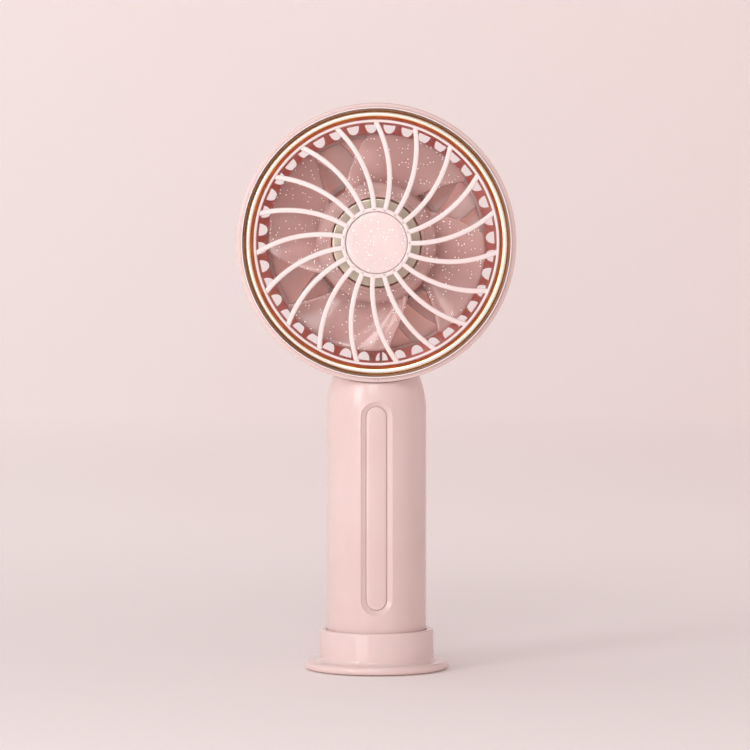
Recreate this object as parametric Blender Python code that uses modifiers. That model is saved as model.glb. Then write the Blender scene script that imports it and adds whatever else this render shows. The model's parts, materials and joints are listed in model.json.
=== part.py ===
"""Handheld electric fan with a push-on base, as an assembly of separate parts.

Sizes are in millimetres, and MM turns them into metres where a mesh or a place
is set. The fan stands on its base: Z is up, the front grille faces -Y, and the
origin is under the middle of the base.

The head's parts are drawn in the head frame, whose X is to the right and Y up as
seen from the front, and whose Z runs forward out of the grille along the rotor's
axis. The heights of their profiles are distances forward of the head's middle.
"""
import math

import bmesh
import bpy
from mathutils import Matrix, Vector

MM = 0.001
GAP = 0.3                    # clearance between pieces that touch

# Head
HEAD_CENTRE_Z = 150.0
HEAD_RADIUS = 48.5
HEAD_FRONT = 19.0            # forward of the head's middle
HEAD_REAR = -19.0
HOUSING_INNER_RADIUS = 46.0
HOUSING_FRONT = 17.6
HOUSING_REAR = -12.0
HOUSING_ROUNDING = 1.0       # of the front outer edge
REBATE_RADIUS = 47.2         # step in the housing's mouth that the bezel sits in
REBATE_FLOOR = 12.8
BEZEL_RADIUS = REBATE_RADIUS - GAP
SKIRT_REAR = 8.0             # of the bezel's skirt, inside the housing
SKIRT_INNER_RADIUS = 44.6
GOLD_SEAT = 16.2             # ledge that the gold ring lies over
NUB_RADIUS = 0.5             # small stud at the bottom of the housing's edge
NUB_CENTRE = 47.8
NUB_HEIGHT = 0.6
GOLD_INNER_RADIUS = 42.95
GOLD_OUTER_RADIUS = 46.15

# Front grille
GRILLE_RADIUS = 42.65
RIM_INNER_RADIUS = 41.7
HUB_RADIUS = 12.3
CAP_RADIUS = 10.6
SPOKES = 19
FIRST_SPOKE_DEG = 75.0       # where the first spoke leaves the hub
SPOKE_WIDTH = 1.75
SPOKE_BEND_RADIUS = 41.3     # of the arc that each spoke follows
GRILLE_THICKNESS = 2.8
GRILLE_DOME = 1.6            # how far the hub stands in front of the rim
GRILLE_FRONT = 17.4          # at the rim

# Rear cover
VENTS = 40
VENT_WIDTH = 4.3
VENT_OUTER_RADIUS = 42.0
VENT_INNER_RADIUS = 39.0
VANES = 20
VANE_RING_RADIUS = 37.6
VANE_HUB_RADIUS = 23.5
VANE_SKEW_DEG = 0.79         # turn of a vane for each millimetre outward
COVER_THICKNESS = 1.8
COVER_BEND = 6.0             # outside radius between the cover's side and back
COVER_WALL_TOP = -13.5       # front edge of the vane ring and of the hub disc
COVER_WALL_THICKNESS = 1.2
BOSS_RADIUS = 15.5           # seat of the motor mount
BOSS_TOP = -16.0
VANE_TOP = -13.9
VANE_BOTTOM = -18.7
VANE_THICKNESS = 1.4

# Impeller and motor
BLADES = 4
BLADE_ROOT_RADIUS = 20.3
BLADE_TIP_RADIUS = 39.2
BLADE_THICKNESS = 1.4
FIRST_BLADE_DEG = 8.6        # front tip corner of the first blade
ROTOR_HUB_RADIUS = 21.1
CAN_RADIUS = 15.8
SHAFT_RADIUS = 1.0
BEARING_RADIUS = 3.1
TUBE_RADIUS = 4.6
COILS = 6
MOTOR_SCREW_CIRCLE = 11.0

# Handle
HANDLE_RADIUS = 17.5
HANDLE_WALL = 2.0
TAPER_Z = 91.0               # where the handle starts to narrow toward the head
TAPER_BEND = 34.0            # radius of that curve
TAPER_DEG = 19.8
CROWN_BEND = 4.0             # tighter curve above it
RIB_Z = (95.5, 97.0)         # inner rib that holds the neck's flange
HANDLE_BOTTOM_Z = 7.6
SHELL_BOTTOM_Z = 9.3
NECK_RADIUS = 11.5
RECESS_WIDTH = 10.7
RECESS_LENGTH = 74.5
SLOT_WIDTH = 7.3
RECESS_MIDDLE_Z = 57.55
BUTTON_Z = 78.0
BUTTON_RADIUS = 5.0
LED_Z = 66.0
USB_Z = 27.0
END_SCREWS_X = (-9.0, 9.0)
CELL_RADIUS = 9.2
CELL_LENGTH = 65.0
CELL_Y = -3.5
CELL_BOTTOM_Z = 17.4
BOARD_Y = 8.5                # front face of the main board
BOARD_THICKNESS = 1.6

# Base
COLLAR_RADIUS = 20.175
COLLAR_TOP_Z = 14.2
FLANGE_RADIUS = 25.375
FLANGE_THICKNESS = 2.8
FLANGE_BOTTOM_Z = 0.3
PAD_RADIUS = 22.0
PAD_THICKNESS = 0.9
GROOVE_RADIUS = 19.0         # groove for the grip ring
GROOVE_Z = (9.5, 12.5)
SOCKET_RADIUS = HANDLE_RADIUS + GAP
LEDGE_Z = HANDLE_BOTTOM_Z - GAP
WELL_RADIUS = 14.5
FLOOR_Z = 2.8

ROUND_STEPS = 40             # sides of the large turned parts
SMALL_STEPS = 24             # sides of the motor's parts


# ---------------------------------------------------------------- helpers

def clear_scene():
    for item in list(bpy.data.objects):
        bpy.data.objects.remove(item)


def new_collection(name):
    collection = bpy.data.collections.new(name)
    bpy.context.scene.collection.children.link(collection)
    return collection


def new_frame(name, place, turn_x_deg=0.0):
    """An empty that carries parts: its Z is the axis that they are drawn about."""
    frame = bpy.data.objects.new(name, None)
    frame.location = Vector(place) * MM
    frame.rotation_euler = (math.radians(turn_x_deg), 0, 0)
    frame.empty_display_size = 0.01
    PARTS.objects.link(frame)
    return frame


def new_material(name, colour, roughness, metallic=0.0):
    material = bpy.data.materials.new(name)
    material.use_nodes = True
    shader = material.node_tree.nodes["Principled BSDF"]
    shader.inputs["Base Color"].default_value = (*colour, 1)
    shader.inputs["Roughness"].default_value = roughness
    shader.inputs["Metallic"].default_value = metallic
    return material


def place_part(item, frame, material):
    """Put an object among the parts, or among the cutters if it has no material."""
    if material is None:
        CUTTERS.objects.link(item)
        item.hide_render = True
        item.display_type = "WIRE"
    else:
        PARTS.objects.link(item)
        item.data.materials.append(material)
    item.parent = frame
    return item


def mesh_part(name, work, frame, material):
    """Turn a bmesh in millimetres into an object."""
    bmesh.ops.recalc_face_normals(work, faces=work.faces)
    bmesh.ops.transform(work, matrix=Matrix.Scale(MM, 4), verts=work.verts)
    mesh = bpy.data.meshes.new(name)
    work.to_mesh(mesh)
    work.free()
    mesh.shade_smooth()
    mesh.set_sharp_from_angle(angle=math.radians(35))
    return place_part(bpy.data.objects.new(name, mesh), frame, material)


def turned(name, profile, frame, material, steps=ROUND_STEPS):
    """Turn a profile of (radius, height) about the frame's Z axis.

    The profile runs down its outer side. A ring's is closed by its last edge; a
    solid's starts and ends on the axis.
    """
    count = len(profile)
    edges = [(i, i + 1) for i in range(count - 1)]
    if profile[0][0] > 0:
        edges.append((count - 1, 0))
    mesh = bpy.data.meshes.new(name)
    mesh.from_pydata([(r * MM, 0, z * MM) for r, z in profile], edges, [])
    item = place_part(bpy.data.objects.new(name, mesh), frame, material)
    screw = item.modifiers.new("Turn", "SCREW")
    screw.axis = "Z"
    screw.steps = steps
    screw.render_steps = steps
    screw.use_merge_vertices = True
    screw.merge_threshold = 0.00001
    return item


def ring(name, inner, outer, bottom, top, frame, material, steps=24, bevel=0.0):
    """A turned ring with square section and, where asked, bevelled outer edges."""
    profile = [(inner, top), (outer - bevel, top)]
    if bevel:
        profile += [(outer, top - bevel), (outer, bottom + bevel)]
        profile += [(outer - bevel, bottom)]
    else:
        profile += [(outer, bottom)]
    profile += [(inner, bottom)]
    return turned(name, profile, frame, material, steps)


def box(name, low, high, frame, material, bevel=0.0):
    work = bmesh.new()
    bmesh.ops.create_cube(work, size=1)
    low, high = Vector(low), Vector(high)
    size = Matrix.Diagonal((*(high - low), 1))
    bmesh.ops.transform(work, matrix=size, verts=work.verts)
    bmesh.ops.translate(work, vec=(low + high) / 2, verts=work.verts)
    if bevel:
        bmesh.ops.bevel(work, geom=work.edges, offset=bevel, segments=1, affect="EDGES")
    return mesh_part(name, work, frame, material)


def rod(name, radius, start, end, frame, material, sides=16):
    """A round bar between two points."""
    work = bmesh.new()
    start, end = Vector(start), Vector(end)
    along = end - start
    place = Matrix.Translation((start + end) / 2) @ along.to_track_quat("Z", "Y").to_matrix().to_4x4()
    bmesh.ops.create_cone(work, cap_ends=True, segments=sides, radius1=radius,
                          radius2=radius, depth=along.length, matrix=place)
    return mesh_part(name, work, frame, material)


def outline(name, loops, bottom, top, frame, material):
    """A plate between two heights: the first loop is its edge, the others are holes."""
    curve = bpy.data.curves.new(name, "CURVE")
    curve.dimensions = "2D"
    curve.fill_mode = "BOTH"
    curve.extrude = (top - bottom) / 2 * MM
    for loop in loops:
        spline = curve.splines.new("POLY")
        spline.points.add(len(loop) - 1)
        for point, (x, y) in zip(spline.points, loop):
            point.co = (x * MM, y * MM, 0, 1)
        spline.use_cyclic_u = True
    item = place_part(bpy.data.objects.new(name, curve), frame, material)
    item.location.z = (bottom + top) / 2 * MM
    return as_mesh(item)


def as_mesh(item):
    """Replace a curve object by the same shape as a welded mesh."""
    bpy.context.view_layer.update()
    evaluated = item.evaluated_get(bpy.context.evaluated_depsgraph_get())
    mesh = bpy.data.meshes.new_from_object(evaluated)
    work = bmesh.new()
    work.from_mesh(mesh)
    bmesh.ops.remove_doubles(work, verts=work.verts, dist=0.000001)
    bmesh.ops.recalc_face_normals(work, faces=work.faces)
    work.to_mesh(mesh)
    work.free()
    mesh.name = item.data.name
    name, frame, material = item.name, item.parent, item.active_material
    place = item.matrix_basis.copy()
    bpy.data.objects.remove(item)
    solid = bpy.data.objects.new(name, mesh)
    if material is not None:
        mesh.materials.clear()
    place_part(solid, frame, material)
    solid.matrix_basis = place
    return solid


def loft(name, sections, frame, material):
    """Skin a list of closed sections with equal counts of points, and cap the ends."""
    work = bmesh.new()
    rows = [[work.verts.new(point) for point in section] for section in sections]
    count = len(rows[0])
    for row, following in zip(rows, rows[1:]):
        for i in range(count):
            after = (i + 1) % count
            work.faces.new((row[i], row[after], following[after], following[i]))
    work.faces.new(reversed(rows[0]))
    work.faces.new(rows[-1])
    return mesh_part(name, work, frame, material)


def wire(name, route, radius, material):
    """A round wire on a smooth curve through the points of its route."""
    points = smooth_route([Vector(point) for point in route])
    curve = bpy.data.curves.new(name, "CURVE")
    curve.dimensions = "3D"
    curve.bevel_depth = radius * MM
    curve.bevel_resolution = 2
    curve.use_fill_caps = True
    spline = curve.splines.new("POLY")
    spline.points.add(len(points) - 1)
    for point, place in zip(spline.points, points):
        point.co = (*(place * MM), 1)
    return as_mesh(place_part(bpy.data.objects.new(name, curve), None, material))


def smooth_route(places, steps=2):
    """Points along a smooth curve that passes through every given place."""
    ends = [2 * places[0] - places[1], *places, 2 * places[-1] - places[-2]]
    points = []
    for a, b, c, d in zip(ends, ends[1:], ends[2:], ends[3:]):
        for step in range(steps):
            t = step / steps
            points.append(((2 * b) + (c - a) * t + (2 * a - 5 * b + 4 * c - d) * t ** 2
                           + (3 * b - a - 3 * c + d) * t ** 3) / 2)
    points.append(places[-1])
    return points


def change(item, other, operation):
    modifier = item.modifiers.new(operation.title(), "BOOLEAN")
    modifier.object = other
    modifier.operation = operation
    modifier.solver = "EXACT"


def cut(item, *cutters):
    for cutter in cutters:
        change(item, cutter, "DIFFERENCE")
    return item


def join(item, *others):
    for other in others:
        change(item, other, "UNION")
    return item


def arc(centre_r, centre_z, radius, start_deg, end_deg, steps):
    """Points of a profile on a circle, angles measured from outward to up."""
    points = []
    for step in range(steps + 1):
        angle = math.radians(start_deg + (end_deg - start_deg) * step / steps)
        points.append((centre_r + radius * math.cos(angle), centre_z + radius * math.sin(angle)))
    return points


def polar(radius, degrees):
    angle = math.radians(degrees)
    return radius * math.cos(angle), radius * math.sin(angle)


def circle(radius, count):
    return [polar(radius, 360 * i / count) for i in range(count)]


def capsule(width, length, ends=8):
    """Outline of a slot with round ends, long side along Y."""
    radius = width / 2
    middle = (length - width) / 2
    points = []
    for start, offset in ((0, middle), (180, -middle)):
        for step in range(ends + 1):
            x, y = polar(radius, start + 180 * step / ends)
            points.append((x, y + offset))
    return points


# ---------------------------------------------------------------- front cover

def spoke_angle(radius, side):
    """Turn in degrees of a spoke's line at a radius, side to the left of its middle."""
    reach = math.hypot(HUB_RADIUS, SPOKE_BEND_RADIUS)
    bend = SPOKE_BEND_RADIUS - side
    cosine = (reach ** 2 + radius ** 2 - bend ** 2) / (2 * reach * radius)
    return math.degrees(math.atan2(SPOKE_BEND_RADIUS, HUB_RADIUS) - math.acos(cosine))


def spoke_gap(start_deg, steps=3):
    """Outline of the opening between one spoke and the next."""
    pitch = 360 / SPOKES
    half = SPOKE_WIDTH / 2
    radii = [HUB_RADIUS + (RIM_INNER_RADIUS - HUB_RADIUS) * i / steps for i in range(steps + 1)]
    near = [(r, start_deg + spoke_angle(r, half)) for r in radii]
    far = [(r, start_deg + pitch + spoke_angle(r, -half)) for r in reversed(radii)]
    rim = [(RIM_INNER_RADIUS, near[-1][1] + (far[0][1] - near[-1][1]) * t) for t in (1 / 3, 2 / 3)]
    hub = [(HUB_RADIUS, (near[0][1] + far[-1][1]) / 2)]
    return [polar(r, degrees) for r, degrees in near + rim + far + hub]


def front_grille(frame, material):
    """Rim, spokes and hub in one moulding, domed forward to the hub."""
    gaps = [spoke_gap(FIRST_SPOKE_DEG + 360 / SPOKES * i) for i in range(SPOKES)]
    loops = [circle(GRILLE_RADIUS, 2 * SPOKES), *gaps]
    back = GRILLE_FRONT - GRILLE_THICKNESS
    grille = outline("front_grille", loops, back, GRILLE_FRONT, frame, material)
    for vertex in grille.data.vertices:
        radius = math.hypot(vertex.co.x, vertex.co.y) / MM
        outward = max(0.0, (radius - HUB_RADIUS) / (GRILLE_RADIUS - HUB_RADIUS))
        vertex.co.z += GRILLE_DOME * (1 - outward ** 2) * MM
    recess_floor = HEAD_FRONT - 1.4
    recess = rod("hub_recess_cutter", CAP_RADIUS + GAP, (0, 0, recess_floor),
                 (0, 0, HEAD_FRONT + 2), frame, None, sides=32)
    return cut(grille, recess)


def hub_cap(frame, material):
    bottom = HEAD_FRONT - 1.1
    top = HEAD_FRONT - 0.3
    profile = [(0, top), (CAP_RADIUS - 0.4, top), (CAP_RADIUS, top - 0.3), (CAP_RADIUS, bottom), (0, bottom)]
    return turned("hub_cap", profile, frame, material, steps=32)


def front_bezel(frame, material):
    """Lip, ledge for the gold ring, and a skirt that plugs into the housing."""
    lip_inner = GOLD_OUTER_RADIUS + GAP
    skirt = HOUSING_INNER_RADIUS - GAP
    seat = REBATE_FLOOR + GAP
    chamfer = 0.2
    profile = [(lip_inner, HEAD_FRONT), (BEZEL_RADIUS - chamfer, HEAD_FRONT),
               (BEZEL_RADIUS, HEAD_FRONT - 2 * chamfer), (BEZEL_RADIUS, seat),
               (skirt, seat), (skirt, SKIRT_REAR), (SKIRT_INNER_RADIUS, SKIRT_REAR),
               (SKIRT_INNER_RADIUS, seat), (GOLD_INNER_RADIUS, seat + 0.7),
               (GOLD_INNER_RADIUS, GOLD_SEAT), (lip_inner, GOLD_SEAT)]
    return turned("front_bezel", profile, frame, material)


def gold_ring(frame, material):
    """Half-round trim that lies on the bezel's ledge."""
    bottom = GOLD_SEAT + GAP
    shoulder = bottom + 0.6
    middle = (GOLD_INNER_RADIUS + GOLD_OUTER_RADIUS) / 2
    half = (GOLD_OUTER_RADIUS - GOLD_INNER_RADIUS) / 2
    profile = [(GOLD_INNER_RADIUS, shoulder), *arc(middle, shoulder, half, 145, 35, 2),
               (GOLD_OUTER_RADIUS, shoulder), (GOLD_OUTER_RADIUS, bottom), (GOLD_INNER_RADIUS, bottom)]
    return turned("gold_ring", profile, frame, material)


# ---------------------------------------------------------------- head

def head_housing(frame, material):
    """Outer ring of the head, with the neck that the handle's shells close round."""
    rounding = HOUSING_ROUNDING
    profile = [(REBATE_RADIUS, HOUSING_FRONT),
               *arc(HEAD_RADIUS - rounding, HOUSING_FRONT - rounding, rounding, 90, 0, 2),
               (HEAD_RADIUS, HOUSING_REAR), (HOUSING_INNER_RADIUS, HOUSING_REAR),
               (HOUSING_INNER_RADIUS, REBATE_FLOOR), (REBATE_RADIUS, REBATE_FLOOR)]
    housing = turned("head_housing", profile, frame, material)
    nub = rod("nub", NUB_RADIUS, (0, -NUB_CENTRE, HOUSING_FRONT - 2),
              (0, -NUB_CENTRE, HOUSING_FRONT + NUB_HEIGHT), frame, None, sides=12)
    return join(cut(housing, wire_hole()), neck(frame), nub)


def wire_hole():
    """Way for the motor's wires through the housing's wall, above the neck."""
    wall_z = HEAD_CENTRE_Z - HEAD_RADIUS
    return rod("wire_hole_cutter", 3.0, (0, 6, wall_z - 4), (0, 6, wall_z + 6), None, None)


def neck(frame):
    """A tube below the ring, with a flange that the handle's inner rib holds."""
    top, flange_top, bottom = 104.0, RIB_Z[0] - GAP, 93.4
    bore, flange = 9.0, 12.8
    profile = [(bore, top), (NECK_RADIUS, top), (NECK_RADIUS, flange_top), (flange, flange_top),
               (flange, bottom), (bore, bottom)]
    tube = turned("neck", profile, None, None, steps=32)
    middle = HEAD_RADIUS - 1.2
    trim = rod("neck_trim_cutter", middle, (0, 0, -30), (0, 0, 30), frame, None, sides=ROUND_STEPS)
    return cut(tube, trim)


def vent(degrees, steps=3):
    """Half-moon outline, flat side outward."""
    turn = Matrix.Rotation(math.radians(degrees - 90), 2)
    depth = VENT_OUTER_RADIUS - VENT_INNER_RADIUS
    points = []
    for step in range(steps + 1):
        x, y = polar(1, 180 + 180 * step / steps)
        points.append(turn @ Vector((x * VENT_WIDTH / 2, VENT_OUTER_RADIUS + y * depth)))
    return [tuple(point) for point in points]


def prisms(name, loops, bottom, top, frame):
    """Separate upright solids in one object, for a single Boolean."""
    work = bmesh.new()
    for loop in loops:
        rows = [[work.verts.new((x, y, z)) for x, y in loop] for z in (bottom, top)]
        for i in range(len(loop)):
            after = (i + 1) % len(loop)
            work.faces.new((rows[0][i], rows[0][after], rows[1][after], rows[1][i]))
        work.faces.new(rows[0])
        work.faces.new(rows[1])
    return mesh_part(name, work, frame, None)


def vane_section(radius, degrees):
    """Four corners of a slanted vane at one radius."""
    half_turn = 0.46 * 360 / VANES
    skewed = degrees + VANE_SKEW_DEG * (radius - VANE_HUB_RADIUS)
    corners = ((-half_turn, VANE_TOP), (half_turn, VANE_BOTTOM + VANE_THICKNESS),
               (half_turn, VANE_BOTTOM), (-half_turn, VANE_TOP - VANE_THICKNESS))
    return [(*polar(radius, skewed + turn), z) for turn, z in corners]


def rear_vanes(frame):
    """All the vanes, each reaching into the hub disc and the outer ring."""
    work = bmesh.new()
    radii = (VANE_HUB_RADIUS - 0.7, VANE_RING_RADIUS + 0.7)
    for i in range(VANES):
        inner, outer = [[work.verts.new(point) for point in vane_section(radius, 360 / VANES * i)]
                        for radius in radii]
        for k in range(4):
            after = (k + 1) % 4
            work.faces.new((inner[k], inner[after], outer[after], outer[k]))
        work.faces.new(inner)
        work.faces.new(outer)
    bmesh.ops.triangulate(work, faces=work.faces)
    return mesh_part("rear_vanes", work, frame, None)


def rear_cover(frame, material):
    """Dished cover with vents round its edge, vanes, and a disc for the motor."""
    floor = HEAD_REAR + COVER_THICKNESS
    edge = HOUSING_REAR - GAP
    outer = HEAD_RADIUS - 0.3
    bend_r, bend_z = outer - COVER_BEND, HEAD_REAR + COVER_BEND
    ring_outer = VANE_RING_RADIUS + COVER_WALL_THICKNESS
    profile = [(outer - COVER_THICKNESS, edge), (outer, edge), *arc(bend_r, bend_z, COVER_BEND, 0, -90, 3),
               (VANE_RING_RADIUS, HEAD_REAR), (VANE_RING_RADIUS, COVER_WALL_TOP),
               (ring_outer, COVER_WALL_TOP), (ring_outer, floor),
               *arc(bend_r, bend_z, COVER_BEND - COVER_THICKNESS, -90, 0, 2)]
    cover = turned("rear_cover", profile, frame, material)
    disc_inner = VANE_HUB_RADIUS - COVER_WALL_THICKNESS
    disc_profile = [(0, BOSS_TOP), (BOSS_RADIUS, BOSS_TOP), (BOSS_RADIUS, floor), (disc_inner, floor),
                    (disc_inner, COVER_WALL_TOP), (VANE_HUB_RADIUS, COVER_WALL_TOP),
                    (VANE_HUB_RADIUS, HEAD_REAR), (0, HEAD_REAR)]
    disc = turned("rear_disc", disc_profile, frame, None)
    vents = prisms("vent_cutter", [vent(360 / VENTS * (i + 0.5) - 1.9) for i in range(VENTS)],
                   HEAD_REAR - 1, floor + 1, frame)
    screw_holes = [rod(f"motor_screw_hole_cutter_{i + 1}", SHAFT_RADIUS + GAP, (x, y, -18.2), (x, y, -15),
                       frame, None, sides=12) for i, (x, y) in enumerate(motor_screw_places())]
    return cut(join(cover, disc, rear_vanes(frame)), vents, *screw_holes)


# ---------------------------------------------------------------- impeller and motor

def blade_edges(s):
    """Angles of a blade's front and rear edge, s from 0 at the root to 1 at the tip."""
    front = 24.5 * (1 - s) ** 1.25
    rear = -47 - 17 * s ** 0.7
    return front, rear


def blade(number, frame):
    """A swept, pitched blade: an open sheet that Solidify gives its thickness."""
    rows, columns = 4, 5
    start = FIRST_BLADE_DEG + 360 / BLADES * number
    work = bmesh.new()
    grid = []
    for row in range(rows + 1):
        s = row / rows
        front, rear = blade_edges(s)
        line = []
        for column in range(columns + 1):
            u = column / columns
            tip = BLADE_TIP_RADIUS - 1.6 * (1 - u) ** 2
            radius = BLADE_ROOT_RADIUS + (tip - BLADE_ROOT_RADIUS) * s
            pitch = (6.6 - 1.2 * s) * math.cos(math.pi * (0.12 + 0.88 * u)) - 0.8
            x, y = polar(radius, start + front + (rear - front) * u)
            line.append(work.verts.new((x, y, pitch)))
        grid.append(line)
    for near, far in zip(grid, grid[1:]):
        for i in range(columns):
            work.faces.new((near[i], near[i + 1], far[i + 1], far[i]))
    item = mesh_part(f"blade_{number + 1}", work, frame, None)
    solidify = item.modifiers.new("Thickness", "SOLIDIFY")
    solidify.thickness = BLADE_THICKNESS * MM
    solidify.offset = 0
    return item


def impeller(frame, material):
    """Open-fronted hub that grips the rotor can, with its blades."""
    bore = CAN_RADIUS + GAP
    profile = [(bore, 9.5), (17.0, 9.5), (17.6, 9.0), (19.6, 8.2), (20.7, 7.3), (ROTOR_HUB_RADIUS, 6.2),
               (ROTOR_HUB_RADIUS, -8.5), (19.5, -8.5), (19.5, 5.4), (17.3, 7.2), (bore, 7.2)]
    hub = turned("impeller", profile, frame, material)
    return join(hub, *[blade(i, frame) for i in range(BLADES)])


def rotor_can(frame, material):
    bore = SHAFT_RADIUS + GAP
    inner = CAN_RADIUS - 1.0
    profile = [(bore, 9.0), (CAN_RADIUS - 1.0, 9.0), (CAN_RADIUS, 8.0), (CAN_RADIUS, -5.0),
               (inner, -5.0), (inner, 7.8), (2.6, 7.8), (2.6, 6.2), (bore, 6.2)]
    return turned("rotor_can", profile, frame, material, steps=SMALL_STEPS)


def stator_core(frame, material):
    """Six T-shaped poles round a ring."""
    loop = []
    ring_radius, shoe_inner, shoe_outer, neck_half = 6.6, 10.8, 12.3, 1.5
    shoe_half_deg = 23.0
    for pole in range(COILS):
        middle = 360 / COILS * pole
        neck_in = math.degrees(math.asin(neck_half / ring_radius))
        neck_out = math.degrees(math.asin(neck_half / shoe_inner))
        for radius, turn in ((ring_radius, -neck_in), (shoe_inner, -neck_out), (shoe_inner, -shoe_half_deg),
                             (shoe_outer, -shoe_half_deg), (shoe_outer, 0), (shoe_outer, shoe_half_deg),
                             (shoe_inner, shoe_half_deg), (shoe_inner, neck_out), (ring_radius, neck_in)):
            loop.append(polar(radius, middle + turn))
    hole = circle(TUBE_RADIUS + GAP, 24)
    return outline("stator_core", [loop, hole], -3.5, 4.0, frame, material)


def winding(number, frame, material):
    """One coil round a pole: a squared ring of copper."""
    degrees = 360 / COILS * number
    inner, outer = 7.4, 9.8
    rings = []
    for half_wide, top, bottom in ((1.8, 4.3, -3.8), (2.9, 5.4, -4.9)):
        rings.append([(-half_wide, bottom), (half_wide, bottom), (half_wide, top), (-half_wide, top)])
    turn = Matrix.Rotation(math.radians(degrees), 3, "Z")
    work = bmesh.new()
    corners = []
    for radius, loop in ((inner, rings[0]), (outer, rings[0]), (outer, rings[1]), (inner, rings[1])):
        corners.append([work.verts.new(turn @ Vector((radius, side, height))) for side, height in loop])
    for row, following in zip(corners, corners[1:] + corners[:1]):
        for i in range(4):
            after = (i + 1) % 4
            work.faces.new((row[i], row[after], following[after], following[i]))
    return mesh_part(f"stator_winding_{number + 1}", work, frame, material)


def bearing(name, bottom, frame, material):
    return ring(name, SHAFT_RADIUS + GAP, BEARING_RADIUS, bottom, bottom + 2.0, frame, material,
                steps=20, bevel=0.2)


def bearing_tube(frame, material):
    """Brass tube that carries both bearings, with a foot against the mount."""
    bore = BEARING_RADIUS + GAP
    profile = [(bore, 5.6), (TUBE_RADIUS, 5.6), (TUBE_RADIUS, -15.4), (bore, -15.4)]
    return turned("bearing_tube", profile, frame, material, steps=24)


def motor_mount(frame, material):
    bore = TUBE_RADIUS + GAP
    profile = [(bore, -11.0), (6.4, -11.0), (6.4, -14.1), (13.6, -14.1), (14.0, -14.5), (14.0, -15.7),
               (bore, -15.7)]
    mount = turned("motor_mount", profile, frame, material, steps=SMALL_STEPS)
    holes = [rod(f"mount_hole_cutter_{i + 1}", SHAFT_RADIUS + GAP, (x, y, -17), (x, y, -13),
                 frame, None, sides=12)
             for i, (x, y) in enumerate(motor_screw_places())]
    return cut(mount, *holes)


def motor_screw_places():
    return [polar(MOTOR_SCREW_CIRCLE, degrees) for degrees in (90, 210, 330)]


def screw(name, head_top, length, frame, material, place=(0, 0)):
    """A pan-head screw that points down its frame's Z, with a square recess in its head."""
    head, shank, height = 1.9, 1.0, 1.0
    under = head_top - height
    profile = [(0, head_top - 0.5), (0.6, head_top - 0.5), (0.6, head_top), (head - 0.4, head_top),
               (head, under), (shank, under), (shank, under - length + 0.4), (0, under - length)]
    item = turned(name, profile, frame, material, steps=10)
    item.location = Vector((*place, 0)) * MM
    return item


def make_motor(frame, finishes):
    steel, copper, brass, magnet = (finishes[k] for k in ("steel", "copper", "brass", "magnet"))
    rod("motor_shaft", SHAFT_RADIUS, (0, 0, -14.4), (0, 0, 9.3), ROTOR, steel, sides=12)
    ring("shaft_clip", SHAFT_RADIUS + GAP, 2.2, -13.2, -12.8, ROTOR, steel, steps=16)
    ring("magnet_ring", 12.8, CAN_RADIUS - 1.0 - GAP, -4.5, 5.5, ROTOR, magnet, steps=SMALL_STEPS)
    rotor_can(ROTOR, finishes["can"])
    bearing("bearing_front", 3.4, frame, steel)
    bearing("bearing_rear", -12.2, frame, steel)
    bearing_tube(frame, brass)
    motor_mount(frame, finishes["dark_plastic"])
    stator_core(frame, finishes["laminations"])
    for number in range(COILS):
        winding(number, frame, copper)
    ring("motor_board", TUBE_RADIUS + GAP, 13.4, -9.6, -8.6, frame, finishes["board"], steps=SMALL_STEPS)
    for number, place in enumerate(motor_screw_places()):
        screw(f"motor_screw_{number + 1}", -12.8, 4.0, frame, steel, place)


# ---------------------------------------------------------------- handle

def handle_tube(name, material):
    """The whole handle's wall, before it is halved: rounded top, open ends, inner rib."""
    inner = HANDLE_RADIUS - HANDLE_WALL
    taper_r = HANDLE_RADIUS - TAPER_BEND
    inner_bend = TAPER_BEND - HANDLE_WALL
    reach = TAPER_BEND - CROWN_BEND
    crown_r, crown_z = polar(reach, TAPER_DEG)
    crown = (taper_r + crown_r, TAPER_Z + crown_z)
    rib_low, rib_high = [math.degrees(math.asin((z - TAPER_Z) / inner_bend)) for z in RIB_Z]
    profile = [*arc(*crown, CROWN_BEND, 86, TAPER_DEG, 2),
               *arc(taper_r, TAPER_Z, TAPER_BEND, TAPER_DEG, 0, 3)[1:],
               (HANDLE_RADIUS, SHELL_BOTTOM_Z), (inner, SHELL_BOTTOM_Z),
               *arc(taper_r, TAPER_Z, inner_bend, 0, rib_low, 1),
               (NECK_RADIUS + GAP, RIB_Z[0]), (NECK_RADIUS + GAP, RIB_Z[1]),
               *arc(taper_r, TAPER_Z, inner_bend, rib_high, TAPER_DEG, 1),
               *arc(*crown, CROWN_BEND - HANDLE_WALL, TAPER_DEG, 85, 1)[1:]]
    return turned(name, profile, None, material)


def saddle_cutter():
    """Room for the head's ring at the top of the handle."""
    return rod("saddle_cutter", HEAD_RADIUS + GAP, (0, 0, -40), (0, 0, 40), HEAD, None, sides=96)


def half_cutter(name, side):
    """Block that leaves the half of the handle on the given side of the parting line."""
    far, line = -side * 30, side * GAP / 2
    low, high = sorted((far, line))
    return box(name, (-30, low, -10), (30, high, 120), None, None)


def recess_cutter():
    """Slot through the front wall that widens into a bevelled recess."""
    depths = ((-20.0, RECESS_WIDTH, RECESS_LENGTH), (-16.3, RECESS_WIDTH, RECESS_LENGTH),
              (-15.8, SLOT_WIDTH, RECESS_LENGTH - RECESS_WIDTH + SLOT_WIDTH),
              (-12.5, SLOT_WIDTH, RECESS_LENGTH - RECESS_WIDTH + SLOT_WIDTH))
    sections = [[(x, y, z + RECESS_MIDDLE_Z) for x, z in capsule(width, length)]
                for y, width, length in depths]
    return loft("recess_cutter", sections, None, None)


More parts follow.
